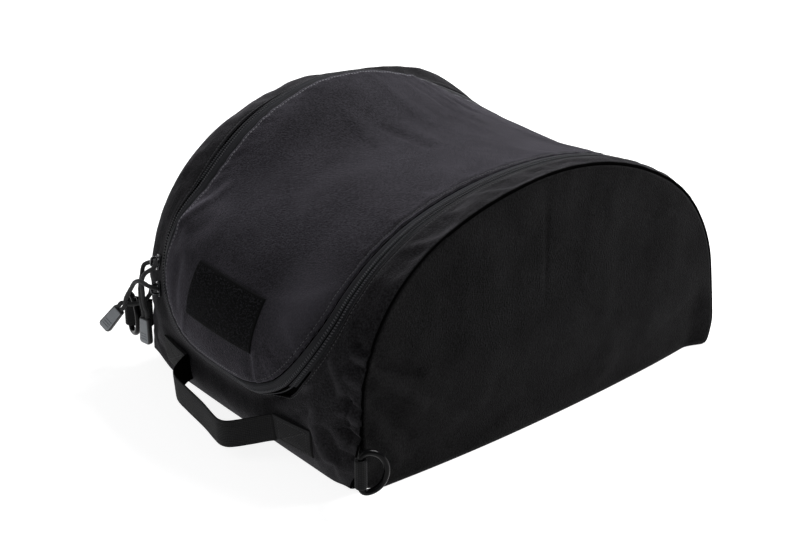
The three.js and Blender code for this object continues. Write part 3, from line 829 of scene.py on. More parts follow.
def wall_faces(keep, loop=False):
    """Faces of a closed wall between two grids, for the grid cells that are kept."""
    rows, columns = keep.shape[0] + 1, keep.shape[1] + (0 if loop else 1)
    index = np.arange(rows * columns).reshape(rows, columns)
    right = np.roll(index, -1, 1) if loop else index[:, 1:]
    left = index if loop else index[:, :-1]
    ring = np.stack([left[:-1], right[:-1], right[1:], left[1:]], -1)
    under = rows * columns
    faces = [ring[keep], ring[keep][:, ::-1] + under]
    padded = np.zeros((keep.shape[0] + 2, keep.shape[1] + 2), bool)
    padded[1:-1, 1:-1] = keep
    if loop:
        padded[1:-1, 0], padded[1:-1, -1] = keep[:, -1], keep[:, 0]
        padded[-1, 1:-1] = True
    beyond = (padded[:-2, 1:-1], padded[1:-1, 2:], padded[2:, 1:-1], padded[1:-1, :-2])
    for k, there in enumerate(beyond):
        open_side = keep & ~there
        a, b = ring[open_side][:, k], ring[open_side][:, (k + 1) % 4]
        faces.append(np.stack([b, a, a + under, b + under], -1))
    return np.concatenate(faces)


def wall(name, outer, inner, uv, wear, keep=None, loop=False, inside=None):
    """Closed cloth wall between two grids of points; a loop's last row may shrink to one point."""
    rows, columns = outer.shape[:2]
    if keep is None:
        keep = np.ones((rows - 1, columns if loop else columns - 1), bool)
    faces = wall_faces(keep, loop)
    used = np.unique(faces)
    renumber = np.full(2 * rows * columns, -1)
    renumber[used] = np.arange(len(used))
    faces = renumber[faces]
    points = np.concatenate([outer.reshape(-1, 3), inner.reshape(-1, 3)])[used]
    volume = 0.0
    for a, b, c in ((0, 1, 2), (0, 2, 3)):
        volume += np.sum(points[faces[:, a]] * np.cross(points[faces[:, b]], points[faces[:, c]]))
    if volume < 0:
        faces = faces[:, ::-1]
    made = new_piece(name, points, faces.tolist())
    # The inner face keeps only the painted shade, unless a mark for it is given.
    hidden = np.minimum(wear, 0) if inside is None else inside
    lay_flat(made.data, np.tile(uv.reshape(-1, 2), (2, 1))[used])
    keep_painted_light_and_wear(made.data, np.concatenate([wear.ravel(), hidden.ravel()])[used])
    if loop:
        work = bmesh.new()
        work.from_mesh(made.data)
        bmesh.ops.remove_doubles(work, verts=work.verts, dist=1e-6)
        work.to_mesh(made.data)
        work.free()
    return made


def beads(name, places, along, across, out, length, width, height):
    """Many small half-sunk ovals, such as stitches or zip teeth, as one piece."""
    rings, sides = 4, 8
    polar = np.linspace(0, math.pi, rings + 1)[1:-1]
    around = np.arange(sides) * 2 * math.pi / sides
    local = [(-1.0, 0.0, 0.0)]
    for p in polar:
        local += [(-math.cos(p), math.sin(p) * math.cos(a), math.sin(p) * math.sin(a)) for a in around]
    local.append((1.0, 0.0, 0.0))
    local = np.array(local) * np.array([length / 2, width / 2, height])
    tip = len(local) - 1
    faces = []
    for k in range(sides):
        n = (k + 1) % sides
        faces.append((0, 1 + n, 1 + k, 1 + k))
        for r in range(rings - 2):
            a = 1 + r * sides
            faces.append((a + k, a + n, a + sides + n, a + sides + k))
        a = 1 + (rings - 2) * sides
        faces.append((a + k, a + n, tip, tip))
    points = (places[:, None, :] + local[None, :, :1] * along[:, None, :]
              + local[None, :, 1:2] * across[:, None, :] + local[None, :, 2:] * out[:, None, :])
    offset = (np.arange(len(places)) * len(local))[:, None, None]
    return new_piece(name, points, (np.array(faces)[None] + offset).reshape(-1, 4).tolist())


def surface_frame(surface, x, along, way):
    """Places on a surface with the direction along a seam, across it and out of the cloth."""
    step = 0.5
    side = unit(surface(x + step, along) - surface(x - step, along))
    up = unit(surface(x, along + step) - surface(x, along - step))
    out = unit(np.cross(side, up))
    run = unit(way[:, :1] * side + way[:, 1:] * up)
    return surface(x, along), run, np.cross(out, run), out


def seam(name, surface, path, pitch, width=0.75, height=0.4):
    """Row of stitches that follows a path of the flattened cloth."""
    length = walked(path)
    walk = np.arange(pitch / 2, length[-1], pitch)

    def at(distance):
        return np.stack([np.interp(distance, length, line) for line in path.T], -1)

    here = at(walk)
    seat = surface_frame(surface, here[:, 0], here[:, 1], unit(at(walk + 0.5) - here))
    return beads(name, *seat, STITCH_SHARE * pitch, width, height)


def join(name, pieces):
    """One piece out of several."""
    with bpy.context.temp_override(active_object=pieces[0], selected_editable_objects=pieces):
        bpy.ops.object.join()
    pieces[0].name = name
    pieces[0].data.name = name
    return pieces[0]


def sweep(name, path, normals, profile, closed=False):
    """Tube or strap: a profile of (across, out) pairs carried along a path."""
    path, normals, profile = (np.asarray(part, float) for part in (path, normals, profile))
    tangent = unit(np.roll(path, -1, 0) - np.roll(path, 1, 0) if closed else np.gradient(path, axis=0))
    out = unit(normals - np.sum(normals * tangent, -1, keepdims=True) * tangent)
    across = np.cross(tangent, out)
    if profile.ndim == 2:
        profile = np.broadcast_to(profile, (len(path), *profile.shape))
    rings = path[:, None] + profile[..., :1] * across[:, None] + profile[..., 1:] * out[:, None]
    count, sides = rings.shape[:2]
    index = np.arange(count * sides).reshape(count, sides)
    here, ahead = (index, np.roll(index, -1, 0)) if closed else (index[:-1], index[1:])
    faces = np.stack([here, np.roll(here, -1, 1), np.roll(ahead, -1, 1), ahead], -1).reshape(-1, 4).tolist()
    uv = np.stack(np.broadcast_arrays(walked(profile[0])[None, :], walked(path)[:, None]), -1).reshape(-1, 2)
    points = rings.reshape(-1, 3)
    if not closed:
        start, end = count * sides, count * sides + 1
        first, last = index[0].tolist(), index[-1].tolist()
        faces += [(start, b, a) for a, b in zip(first, first[1:] + first[:1])]
        faces += [(end, a, b) for a, b in zip(last, last[1:] + last[:1])]
        points = np.concatenate([points, path[:1], path[-1:]])
        uv = np.concatenate([uv, uv[:1], uv[-1:]])
    made = new_piece(name, points, faces)
    lay_flat(made.data, uv)
    return made


def round_section(radius, sides):
    """Circle as a profile."""
    angle = np.arange(sides) * 2 * math.pi / sides
    return np.stack([radius * np.cos(angle), radius * np.sin(angle)], -1)


def strap_section(width, thick, corner=0.7, cells=12):
    """Flat webbing as a profile: a thin rectangle with rounded edges."""
    half = width / 2 - corner
    across = np.linspace(-half, half, cells + 1)
    top = [(a, thick) for a in across]
    bottom = [(a, 0.0) for a in across[::-1]]
    turn = np.linspace(0, math.pi, 5)[1:-1]
    right = [(half + corner * math.sin(t), thick / 2 + thick / 2 * math.cos(t)) for t in turn]
    left = [(-half - corner * math.sin(t), thick / 2 - thick / 2 * math.cos(t)) for t in turn]
    return np.array(top + right + bottom + left)


def through(points, count):
    """Even points on a centripetal curve through a list of points, as a limp cord runs, and its length."""
    points = np.asarray(points, float)
    ends = [2 * points[0] - points[1], *points, 2 * points[-1] - points[-2]]
    fine = []
    for p0, p1, p2, p3 in zip(ends, ends[1:], ends[2:], ends[3:]):
        d0, d1, d2 = (max(np.linalg.norm(b - a) ** 0.5, 1e-4) for a, b in ((p0, p1), (p1, p2), (p2, p3)))
        m1 = ((p1 - p0) / d0 - (p2 - p0) / (d0 + d1) + (p2 - p1) / d1) * d1
        m2 = ((p2 - p1) / d1 - (p3 - p1) / (d1 + d2) + (p3 - p2) / d2) * d1
        t = np.linspace(0, 1, 24, endpoint=False)[:, None]
        fine.append(p1 + m1 * t + (3 * (p2 - p1) - 2 * m1 - m2) * t ** 2 + (2 * (p1 - p2) + m1 + m2) * t ** 3)
    fine = np.concatenate([*fine, points[-1:]])
    walk = walked(fine)
    even_walk = np.linspace(0, walk[-1], count)
    return np.stack([np.interp(even_walk, walk, fine[:, k]) for k in range(3)], -1), walk[-1]


def carried_normals(path, start):
    """Normals along a path that turn no more than the path does."""
    normal = np.asarray(start, float)
    normals = []
    for way in unit(np.gradient(path, axis=0)):
        normal = normal - normal.dot(way) * way
        normal = normal / np.linalg.norm(normal)
        normals.append(normal)
    return np.array(normals)


def toned(colour, share):
    """Colour made lighter or darker."""
    return [share * part for part in colour]


class Finish:
    """Node material that starts from a plain shader and gains weave, mottle, and painted light and wear."""

    BROAD_SHARE, FINE_SHARE = 0.3, 0.7
    CLOTH_SHARE, THREAD_SHARE = 0.85, 0.12
    DARK_AT, LIGHT_AT = 0.34, 0.64
    # Tones, against the base colour, of the painted highlight and wear and of the painted shade.
    WORN_TONE, SEAM_TONE = 5.0, 0.02
    ROUGH_CHANGE = 0.16

    def __init__(self, name, colour, roughness, metallic=0.0, specular=0.5, sheen=0.0):
        self.material = bpy.data.materials.new(name)
        self.material.use_nodes = True
        self.tree = self.material.node_tree
        self.shader = self.tree.nodes["Principled BSDF"]
        self.colour = tuple(colour)
        self.rough = roughness
        self.height = None
        self.set("Base Color", (*self.colour, 1.0))
        self.set("Roughness", roughness)
        self.set("Metallic", metallic)
        self.set("Specular IOR Level", specular)
        self.set("Sheen Weight", sheen)
        self.set("Sheen Roughness", 0.42)
        self.set("Sheen Tint", (*(part / max(self.colour) for part in self.colour), 1.0))

    def set(self, socket, value):
        self.shader.inputs[socket].default_value = value

    def node(self, kind, **values):
        made = self.tree.nodes.new(kind)
        for key, value in values.items():
            setattr(made, key, value)
        return made

    def link(self, start, end):
        self.tree.links.new(start, end)

    def math(self, operation, first, second):
        made = self.node("ShaderNodeMath", operation=operation)
        for socket, value in zip(made.inputs, (first, second)):
            if isinstance(value, (int, float)):
                socket.default_value = value
            else:
                self.link(value, socket)
        return made.outputs[0]

    def mix(self, first, first_share, second, second_share):
        """Sum of two values, each with its share."""
        first, second = self.math("MULTIPLY", first, first_share), self.math("MULTIPLY", second, second_share)
        return self.math("ADD", first, second)

    def noise(self, scale, detail=2.0):
        made = self.node("ShaderNodeTexNoise")
        made.inputs["Scale"].default_value = scale
        made.inputs["Detail"].default_value = detail
        self.link(self.node("ShaderNodeTexCoord").outputs["Object"], made.inputs["Vector"])
        return made.outputs["Fac"]

    def bands(self, pitch, direction):
        made = self.node("ShaderNodeTexWave", wave_type="BANDS", bands_direction=direction)
        made.inputs["Scale"].default_value = 2 * math.pi / 20 / pitch
        made.inputs["Distortion"].default_value = 0.6
        made.inputs["Detail"].default_value = 1.0
        self.link(self.node("ShaderNodeTexCoord").outputs["UV"], made.inputs["Vector"])
        return made.outputs["Fac"]

    def add_height(self, value, share):
        part = self.math("MULTIPLY", value, share)
        self.height = part if self.height is None else self.math("ADD", self.height, part)

    def weave(self, pitch, ribs, share=1.0):
        threads = self.math("MULTIPLY", self.bands(pitch, "X"), self.bands(ribs, "Y"))
        self.add_height(threads, share)
        return threads

    def mottle(self, dark, light, scale, fine_scale, wear=0.0, threads=None):
        """Colour that drifts between two shares of the base colour, paler where the mark paints highlight and
        wear, near black where it paints shade.
        """
        fine = self.noise(fine_scale, 3.0)
        blend = self.mix(self.noise(scale, 4.0), self.BROAD_SHARE, fine, self.FINE_SHARE)
        if threads is not None:
            blend = self.mix(blend, self.CLOTH_SHARE, threads, self.THREAD_SHARE)
        ramp = self.node("ShaderNodeValToRGB")
        for stop, place, tone in zip(ramp.color_ramp.elements, (self.DARK_AT, self.LIGHT_AT), (dark, light)):
            stop.position = place
            stop.color = (*toned(self.colour, tone), 1)
        self.link(blend, ramp.inputs["Fac"])
        result = ramp.outputs["Color"]
        if wear:
            mark = self.node("ShaderNodeAttribute", attribute_name="wear").outputs["Fac"]
            for share, tone in ((wear, self.WORN_TONE), (-1.0, self.SEAM_TONE)):
                mix = self.node("ShaderNodeMix", data_type="RGBA")
                amount = self.math("MAXIMUM", self.math("MULTIPLY", mark, share), 0.0)
                self.link(amount, mix.inputs["Factor"])
                self.link(result, mix.inputs["A"])
                mix.inputs["B"].default_value = (*(min(1.0, tone * part) for part in self.colour), 1)
                result = mix.outputs["Result"]
        self.link(result, self.shader.inputs["Base Color"])
        rough = self.math("MULTIPLY", fine, self.ROUGH_CHANGE)
        rough = self.math("ADD", rough, self.rough - self.ROUGH_CHANGE / 2)
        self.link(rough, self.shader.inputs["Roughness"])

    def bump(self, distance, strength):
        made = self.node("ShaderNodeBump")
        made.inputs["Distance"].default_value = distance
        made.inputs["Strength"].default_value = strength
        self.link(self.height, made.inputs["Height"])
        self.link(made.outputs["Normal"], self.shader.inputs["Normal"])
        return self.material


def cloth_finish(name, colour, wear, sheen, contrast):
    """Close plain weave with a dull surface, drifting in tone; painted highlight on crests, painted shade in
    seams.
    """
    finish = Finish(name, colour, roughness=0.88, specular=0.05, sheen=sheen)
    threads = finish.weave(pitch=0.0008, ribs=0.0008, share=0.4)
    finish.add_height(finish.noise(scale=850.0), share=1.8)
    finish.mottle(1 - contrast, 1 + contrast, scale=30.0, fine_scale=640.0, wear=wear, threads=threads)
    return finish.bump(distance=0.0003, strength=0.9)


def webbing_finish(name, colour):
    """Flat woven webbing with ribs across it."""
    finish = Finish(name, colour, roughness=0.8, specular=0.1, sheen=0.06)
    threads = finish.weave(pitch=0.0016, ribs=0.0011)
    finish.mottle(dark=0.62, light=1.4, scale=60.0, fine_scale=900.0, threads=threads)
    return finish.bump(distance=0.0004, strength=0.8)


def tape_finish(name, colour):
    """Fine ribbed zip tape, with painted shade beside the lid, along its middle line and under the lapped
    cloth's edge.
    """
    finish = Finish(name, colour, roughness=0.7, specular=0.1, sheen=0.08)
    threads = finish.weave(pitch=0.0012, ribs=0.0007)
    finish.mottle(dark=0.7, light=1.3, scale=50.0, fine_scale=1100.0, wear=0.3, threads=threads)
    return finish.bump(distance=0.0002, strength=0.7)


def braid_finish(name, colour):
    """Braided cord with slanting strands."""
    finish = Finish(name, colour, roughness=0.75, specular=0.3, sheen=0.15)
    finish.add_height(finish.bands(0.0009, "DIAGONAL"), share=1.0)
    finish.mottle(dark=0.7, light=1.5, scale=200.0, fine_scale=2500.0)
    return finish.bump(distance=0.0001, strength=0.5)


def grained_finish(name, colour, roughness, grain, depth, **values):
    """Moulded or drawn surface with a fine grain."""
    finish = Finish(name, colour, roughness, **values)
    finish.add_height(finish.noise(grain), share=1.0)
    finish.mottle(dark=0.88, light=1.12, scale=grain / 20, fine_scale=grain)
    return finish.bump(depth, strength=0.4)


def thread_finish(name, colour, roughness=0.6, specular=0.3):
    """Sewing thread."""
    return grained_finish(name, colour, roughness, grain=2500.0, depth=0.00003, specular=specular)


def painted_shade_finish():
    """Near-black material for painted shade: seam grooves, gaps and faces that lie in shadow."""
    return grained_finish(
        "seam_shade", PAINTED_SHADE_COLOUR, roughness=0.95, grain=1500.0, depth=0.00005, specular=0.01)


def settle(piece, material, node=None, body="bag", dark=None):
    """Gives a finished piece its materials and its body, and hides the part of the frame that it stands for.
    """
    mesh = piece.data
    mesh.materials.clear()
    mesh.materials.append(material)
    # Faces whose mark is below the threshold get the painted-shade material.
    if dark:
        mesh.materials.append(dark)
        wear = np.zeros(len(mesh.vertices))
        mesh.attributes["wear"].data.foreach_get("value", wear)
        inside = [wear[list(face.vertices)].mean() < -PAINTED_SHADE_BELOW for face in mesh.polygons]
        mesh.polygons.foreach_set("material_index", np.array(inside, dtype=np.int32))
    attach(piece, body)
    if node:
        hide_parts(node)
    return piece


def settings(context):
    """Sizes and colours of the bag."""
    return context.scene.helmet_bag_sizes, context.scene.helmet_bag_colours


def lid_surface(context, x, along, depth=0.0):
    """Place on the dressed lid."""
    lift, _ = lid_lift(np.asarray(x, float), np.asarray(along, float), settings(context)[0].wrinkle)
    return skin(x, along, depth - lift)


def body_surface(context, x, along, depth=0.0):
    """Place on the dressed front, side strips and back."""
    lift, _ = body_lift(np.asarray(x, float), np.asarray(along, float), settings(context)[0].wrinkle)
    return skin(x, along, depth - lift)


def corner_rows():
    """Rows of the lid along the arch, close together at the lip and then even up its sides."""
    top = LID_LIP + LID_CORNER[1]
    lower = top - LID_CORNER[1] * np.cos(np.linspace(0, math.pi / 2, 45))
    return np.concatenate([lower[[0]], lower[4:], even(top, LID_HINGE - GAP, 3.2)[1:]])


class HELMETBAG_OT_stage(bpy.types.Operator):
    """Set up the camera, the pale floor and the soft light"""

    bl_idname = "helmet_bag.stage"
    bl_label = "Stage"

    def execute(self, context):
        stage, scene = context.scene.helmet_bag_stage, context.scene
        lens = bpy.data.cameras.new("studio_camera")
        lens.lens, lens.sensor_width = CAMERA_LENS, CAMERA_SENSOR
        lens.clip_start, lens.clip_end = CAMERA_CLIP
        camera = bpy.data.objects.new("studio_camera", lens)
        scene.collection.objects.link(camera)
        flat, high = math.cos(CAMERA_ELEVATION), math.sin(CAMERA_ELEVATION)
        back = Vector((math.sin(CAMERA_AZIMUTH) * flat, -math.cos(CAMERA_AZIMUTH) * flat, high))
        camera.location = CAMERA_PLACE
        camera.rotation_mode = "QUATERNION"
        camera.rotation_quaternion = (-back).to_track_quat("-Z", "Y")
        scene.camera = camera
        self.floor(scene, stage)
        for name, power, size, place in SOFTBOXES:
            light = bpy.data.lights.new(name, "AREA")
            light.shape, light.size, light.energy = "SQUARE", size, getattr(stage, power)
            lamp = bpy.data.objects.new(name, light)
            lamp.location = place
            lamp.rotation_mode = "QUATERNION"
            lamp.rotation_quaternion = lamp.location.to_track_quat("Z", "Y")
            scene.collection.objects.link(lamp)
        world = bpy.data.worlds.new("studio_room")
        world.use_nodes = True
        room = world.node_tree.nodes["Background"]
        room.inputs["Color"].default_value = ROOM_COLOUR
        room.inputs["Strength"].default_value = stage.sky
        scene.world = world
        scene.view_settings.view_transform = "Standard"
        return {"FINISHED"}

    @staticmethod
    def floor(scene, stage):
        mesh = bpy.data.meshes.new("studio_floor")
        corners = [(x * FLOOR_REACH, y * FLOOR_REACH, 0) for x, y in ((-1, -1), (1, -1), (1, 1), (-1, 1))]
        mesh.from_pydata(corners, [], [(0, 1, 2, 3)])
        floor = bpy.data.objects.new("studio_floor", mesh)
        floor.location = (0, 0, -FLOOR_DROP)
        scene.collection.objects.link(floor)
        pale = Finish("pale_floor", stage.floor, roughness=0.9, specular=0.1)
        pale.set("Emission Color", (1.0, 1.0, 1.0, 1.0))
        pale.set("Emission Strength", stage.glow)
        mesh.materials.append(pale.material)


def slider_seat(band, row):
    """Axes across, along and out of the zip where a slider sits, and its place."""
    middle = band / 2

    def place(at):
        return skin(*lid_edge(-1, at, middle), -1.0 - GAP)

    x, along = lid_edge(-1, row, middle)
    up = unit(place(row + 1) - place(row - 1))
    out = unit(np.cross(skin(x + 1, along) - skin(x - 1, along), up))
    return np.cross(up, out), up, out, place(row)


def grip_seat(pull):
    """Axes across, up and out of a pull's grip, and its middle."""
    top, tip = np.array(pull["top"], float), np.array(pull["tip"], float)
    up = unit(top - tip)
    across = unit(np.cross(up, np.array(pull["faces"])))
    return across, up, np.cross(across, up), top - up * GRIP_LENGTH / 2


def seated(piece, seat):
    """Moves a piece's mesh from its own axes to a seat."""
    across, up, out, place = seat
    matrix = Matrix((across, up, out)).transposed().to_4x4()
    matrix.translation = Vector(place) * MM
    piece.data.transform(matrix)
    piece.data.update()
    return piece


def softened(name, outline, layers):
    """Moulded block, closed at both ends: an outline raised and shrunk by layers of (height, inset)."""
    outline = np.asarray(outline, float)
    middle = outline.mean(0)
    reach = outline - middle
    rings = []
    for height, inset in layers:
        scale = 1 - inset / np.abs(reach).max(0)
        rings.append(np.concatenate([middle + reach * scale, np.full((len(outline), 1), height)], 1))
    index = np.arange(len(rings) * len(outline)).reshape(len(rings), len(outline))
    sides = np.stack([index[:-1], np.roll(index[:-1], -1, 1), np.roll(index[1:], -1, 1), index[1:]], -1)
    caps = [index[0][::-1].tolist(), index[-1].tolist()]
    made = new_piece(name, rings, sides.reshape(-1, 4).tolist() + caps)
    made.data.set_sharp_from_angle(angle=SHARP_ANGLE)
    return made


def straight_bead(name, start, end, radius, count):
    """Straight round bar, as a moulded rib or a slider's rail."""
    path = np.linspace(start, end, count)
    return sweep(name, path, np.tile((0.0, 0.0, 1.0), (count, 1)), round_section(radius, 10))


def grip_outline(half_width, half_length, taper, corner):
    """Outline of a grip, wider and rounder at its tip than at its mouth."""
    points = []
    for sign_x, sign_y, start in ((1, 1, 0.0), (-1, 1, 90.0), (-1, -1, 180.0), (1, -1, 270.0)):
        wide = half_width - (taper if sign_y > 0 else 0.0)
        bend = corner * (GRIP_MOUTH_CORNER if sign_y > 0 else 1.0)
        for angle in np.radians(np.linspace(start, start + 90, 7)):
            points.append((sign_x * (wide - bend) + bend * math.cos(angle),
                           sign_y * (half_length - bend) + bend * math.sin(angle)))
    return points


class HELMETBAG_OT_pulls(bpy.types.Operator):
    """Build the zip sliders with their braided cords and moulded grips"""

    bl_idname = "helmet_bag.pulls"
    bl_label = "Sliders and pulls"

    def execute(self, context):
        sizes, colours = settings(context)
        band, cord = sizes.zip_band / MM, sizes.cord / MM
        metal = grained_finish(
            "slider_metal", colours.metal, roughness=0.22, grain=900.0, depth=0.00002, metallic=1.0)
        braid = braid_finish("braided_cord", colours.cord)
        rubber = {"grain": 1500.0, "depth": 0.00006, "specular": 0.4}
        pale = grained_finish("grip_face", colours.grip, roughness=0.5, **rubber)
        dark = grained_finish("grip_edge", colours.cord, roughness=0.45, **rubber)
        for pull in PULLS:
            name, seat = pull["name"], slider_seat(band, pull["row"])
            settle(self.slider(f"slider_{name}", seat), metal, f"zip_slider_{name}")
            grip = self.grip(name, grip_seat(pull), pale, dark)
            path, length = self.route(pull, seat)
            rope = self.rope(f"cord_{name}", path, length, cord)
            settle(rope, braid, f"pull_cord_{name}")
        return {"FINISHED"}

    @staticmethod
    def route(pull, seat):
        """Way of a cord from its grip through the slider's bridge and back, and its length."""
        across, up, _, middle = grip_seat(pull)

        def mouth(side, above):
            return middle + across * side * STRAND_GAP / 2 + up * (GRIP_LENGTH / 2 + above)

        slider_across, _, slider_out, slider_place = seat
        hole = SLIDER_PLATE + (GAP + SLIDER_HOLE[1]) / 2
        bridge = [slider_place + slider_across * step + slider_out * hole
                  for step in (SLIDER_BRIDGE, 0.0, -SLIDER_BRIDGE)]
        points = [mouth(1, GAP), mouth(1, STRAND_LEAD), *pull["out_strand"], *bridge, *pull["back_strand"],
                  mouth(-1, STRAND_LEAD), mouth(-1, GAP)]
        return through(points, 240)

    @staticmethod
    def rope(name, path, length, cord):
        """Braided cord along a path: two sets of strands that wind round it both ways."""
        sides, strands, lay = 24, 8, 5.0
        angle = np.arange(sides) * 2 * math.pi / sides
        walk = np.linspace(0, length, len(path))[:, None]
        left = np.cos(strands / 2 * angle[None] + 2 * math.pi * walk / lay)
        right = np.cos(strands / 2 * angle[None] - 2 * math.pi * walk / lay)
        radius = cord / 2 * (0.96 + 0.05 * np.maximum(left, right))
        profile = np.stack([radius * np.cos(angle), radius * np.sin(angle)], -1)
        return sweep(name, path, carried_normals(path, (0.3, -0.8, 0.5)), profile)

    @staticmethod
    def slider(name, seat):
        """Slider: a plate with rounded edges, two rails on it and an arched bridge for the cord."""
        half, nose, wide, chamfer = SLIDER_LENGTH / 2, SLIDER_WIDTH / 4, SLIDER_WIDTH / 2, 1.2
        right = [(nose, -half), (wide - 0.7, -1.5), (wide, half / 3), (wide, half - chamfer),
                 (wide - chamfer, half)]
        plan = right + [(-x, y) for x, y in right[::-1]]
        layers = [(0.0, 0.5), (0.3, 0.1), (0.7, 0.0), (1.6, 0.0), (2.0, 0.15), (SLIDER_PLATE, 0.6)]
        plate = softened(f"{name}_plate", plan, layers)
        leg, bend = SLIDER_HOLE[0] / 2 + SLIDER_WALL / 2, 2.4
        roof = SLIDER_PLATE + SLIDER_HOLE[1] + SLIDER_WALL / 2
        arch = [(0, -leg, SLIDER_PLATE - 0.6), (0, -leg, roof - bend)]
        arch += [(0, -leg + bend - bend * math.cos(a), roof - bend + bend * math.sin(a))
                 for a in np.radians((22, 45, 68, 90))]
        arch += [(0, -y, z) for _, y, z in arch[::-1]]
        path, _ = through(arch, 40)
        section = strap_section(SLIDER_BRIDGE, SLIDER_WALL, 0.5, 4) - np.array([0, SLIDER_WALL / 2])
        bridge = sweep(f"{name}_bridge", path, carried_normals(path, (0, -1, 0)), section)
        rails = []
        for side in (-1, 1):
            x, z = side * (wide - 0.9), SLIDER_PLATE + 0.1
            rails.append(straight_bead(f"{name}_rail", (x, 0.5, z), (x, half - 0.9, z), 0.55, 8))
        return seated(join(name, [plate, bridge, *rails]), seat)

    @staticmethod
    def grip(name, seat, pale, dark):
        """Grip: a dark rounded block with a paler ribbed face let into it."""
        half_w, half_l, half_t = GRIP_WIDTH / 2, GRIP_LENGTH / 2, GRIP_THICK / 2
        lower = [(-half_t, 1.4), (0.3 - half_t, 0.7), (0.9 - half_t, 0.2), (1.6 - half_t, 0.0)]
        upper = [(-height, inset) for height, inset in lower[:0:-1]] + [(half_t - 0.1, 1.1)]
        block = softened(f"grip_{name}_block", grip_outline(half_w, half_l, 0.9, 3.0), lower + upper)
        layers = [(half_t - 1.2, 0.0), (half_t - 0.1, 0.0), (half_t + 0.15, 0.25), (half_t + 0.25, 0.7)]
        face = softened(f"grip_{name}_face", grip_outline(half_w - 1.1, half_l - 1.1, 0.8, 2.4), layers)
        high = half_t + 0.22
        ribs = [straight_bead(f"grip_{name}_rib", (-GRIP_RIB, y, high), (GRIP_RIB, y, high), 0.5, 9)
                for y in GRIP_RIB_ROWS]
        settle(seated(join(f"grip_{name}_pale", [face, *ribs]), seat), pale, None)
        settle(seated(block, seat), dark, f"pull_end_{name}")
        block.name = f"grip_{name}"
        return block


class HELMETBAG_OT_lid(bpy.types.Operator):
    """Build the padded lid with its turned edge and topstitching"""

    bl_idname = "helmet_bag.lid"
    bl_label = "Lid"

    def execute(self, context):
        sizes, colours = settings(context)
        SETTLED["lid"] = self.simulate(sizes.wrinkle)
        rows = corner_rows()
        x = np.array([self.across(row) for row in rows])
        along = np.broadcast_to(rows[:, None], x.shape)
        lift, wear = lid_lift(x, along, sizes.wrinkle)
        inward = np.minimum(-beyond_lid(x, along), LID_HINGE - along)
        pulled = 0.4 + 0.7 * rise(x, 40, 40) * rise(along, 150, 60)
        groove = pulled * peak(inward, LID_STITCH, 0.8 + 0.4 * pulled)
        depth = rolled(inward, 1.9) + groove - lift
        thick = 0.9 * sizes.lid_wall / MM * np.clip(inward / 2, 0.15, 1)
        outer, inner = skin(x, along, depth), skin(x, along, depth + thick)
        piece = wall("lid_cloth", outer, inner, np.stack([x, along], -1), wear)
        cloth = cloth_finish("lid_cloth", colours.lid, wear=0.4, sheen=0.19, contrast=0.95)
        settle(piece, cloth, "lid_panel")

        stations = zip_stations(2.0)
        path = stations[:, :2] - LID_STITCH * stations[:, 2:]
        lip_end = np.argmax(path[:, 0] > LIP_STITCH_END)
        surface = partial(lid_surface, context, depth=STITCH_SUNK)
        for (name, tone, width), stretch in zip(LID_TOPSTITCH, (path[:lip_end], path[lip_end:])):
            thread = thread_finish(f"{name}_thread", toned(colours.thread, tone))
            stitches = seam(f"lid_topstitch_{name}", surface, stretch, sizes.stitch / MM, width, 0.35)
            settle(stitches, thread, None)
        return {"FINISHED"}

    @staticmethod
    def simulate(share):
        """Lets the lid's cloth settle between its seams."""
        x, along = even(-LID_HALF, LID_HALF, 5.0), even(LID_LIP, LID_HINGE, 5.0)
        grid = np.meshgrid(x, along)
        held = (-beyond_lid(*grid) < 5) | (LID_HINGE - grid[1] < 6)

        def face(u, v):
            return skin(u, v, -lid_lift(u, v, share)[0])

        return drape(face, x, along, held, slack=0.002, cap=1.0)

    @staticmethod
    def across(row):
        """Places of a row across the lid, close together at both edges."""
        left, right = lid_edge(-1, row, 0.0)[0], lid_edge(1, row, 0.0)[0]
        near = np.array([0.0, 0.35, 0.8, 1.4, 2.0, 2.8, 3.6, 5.6])
        return np.concatenate([left + near, np.linspace(left + 9, right - 9, 60), right - near[::-1]])


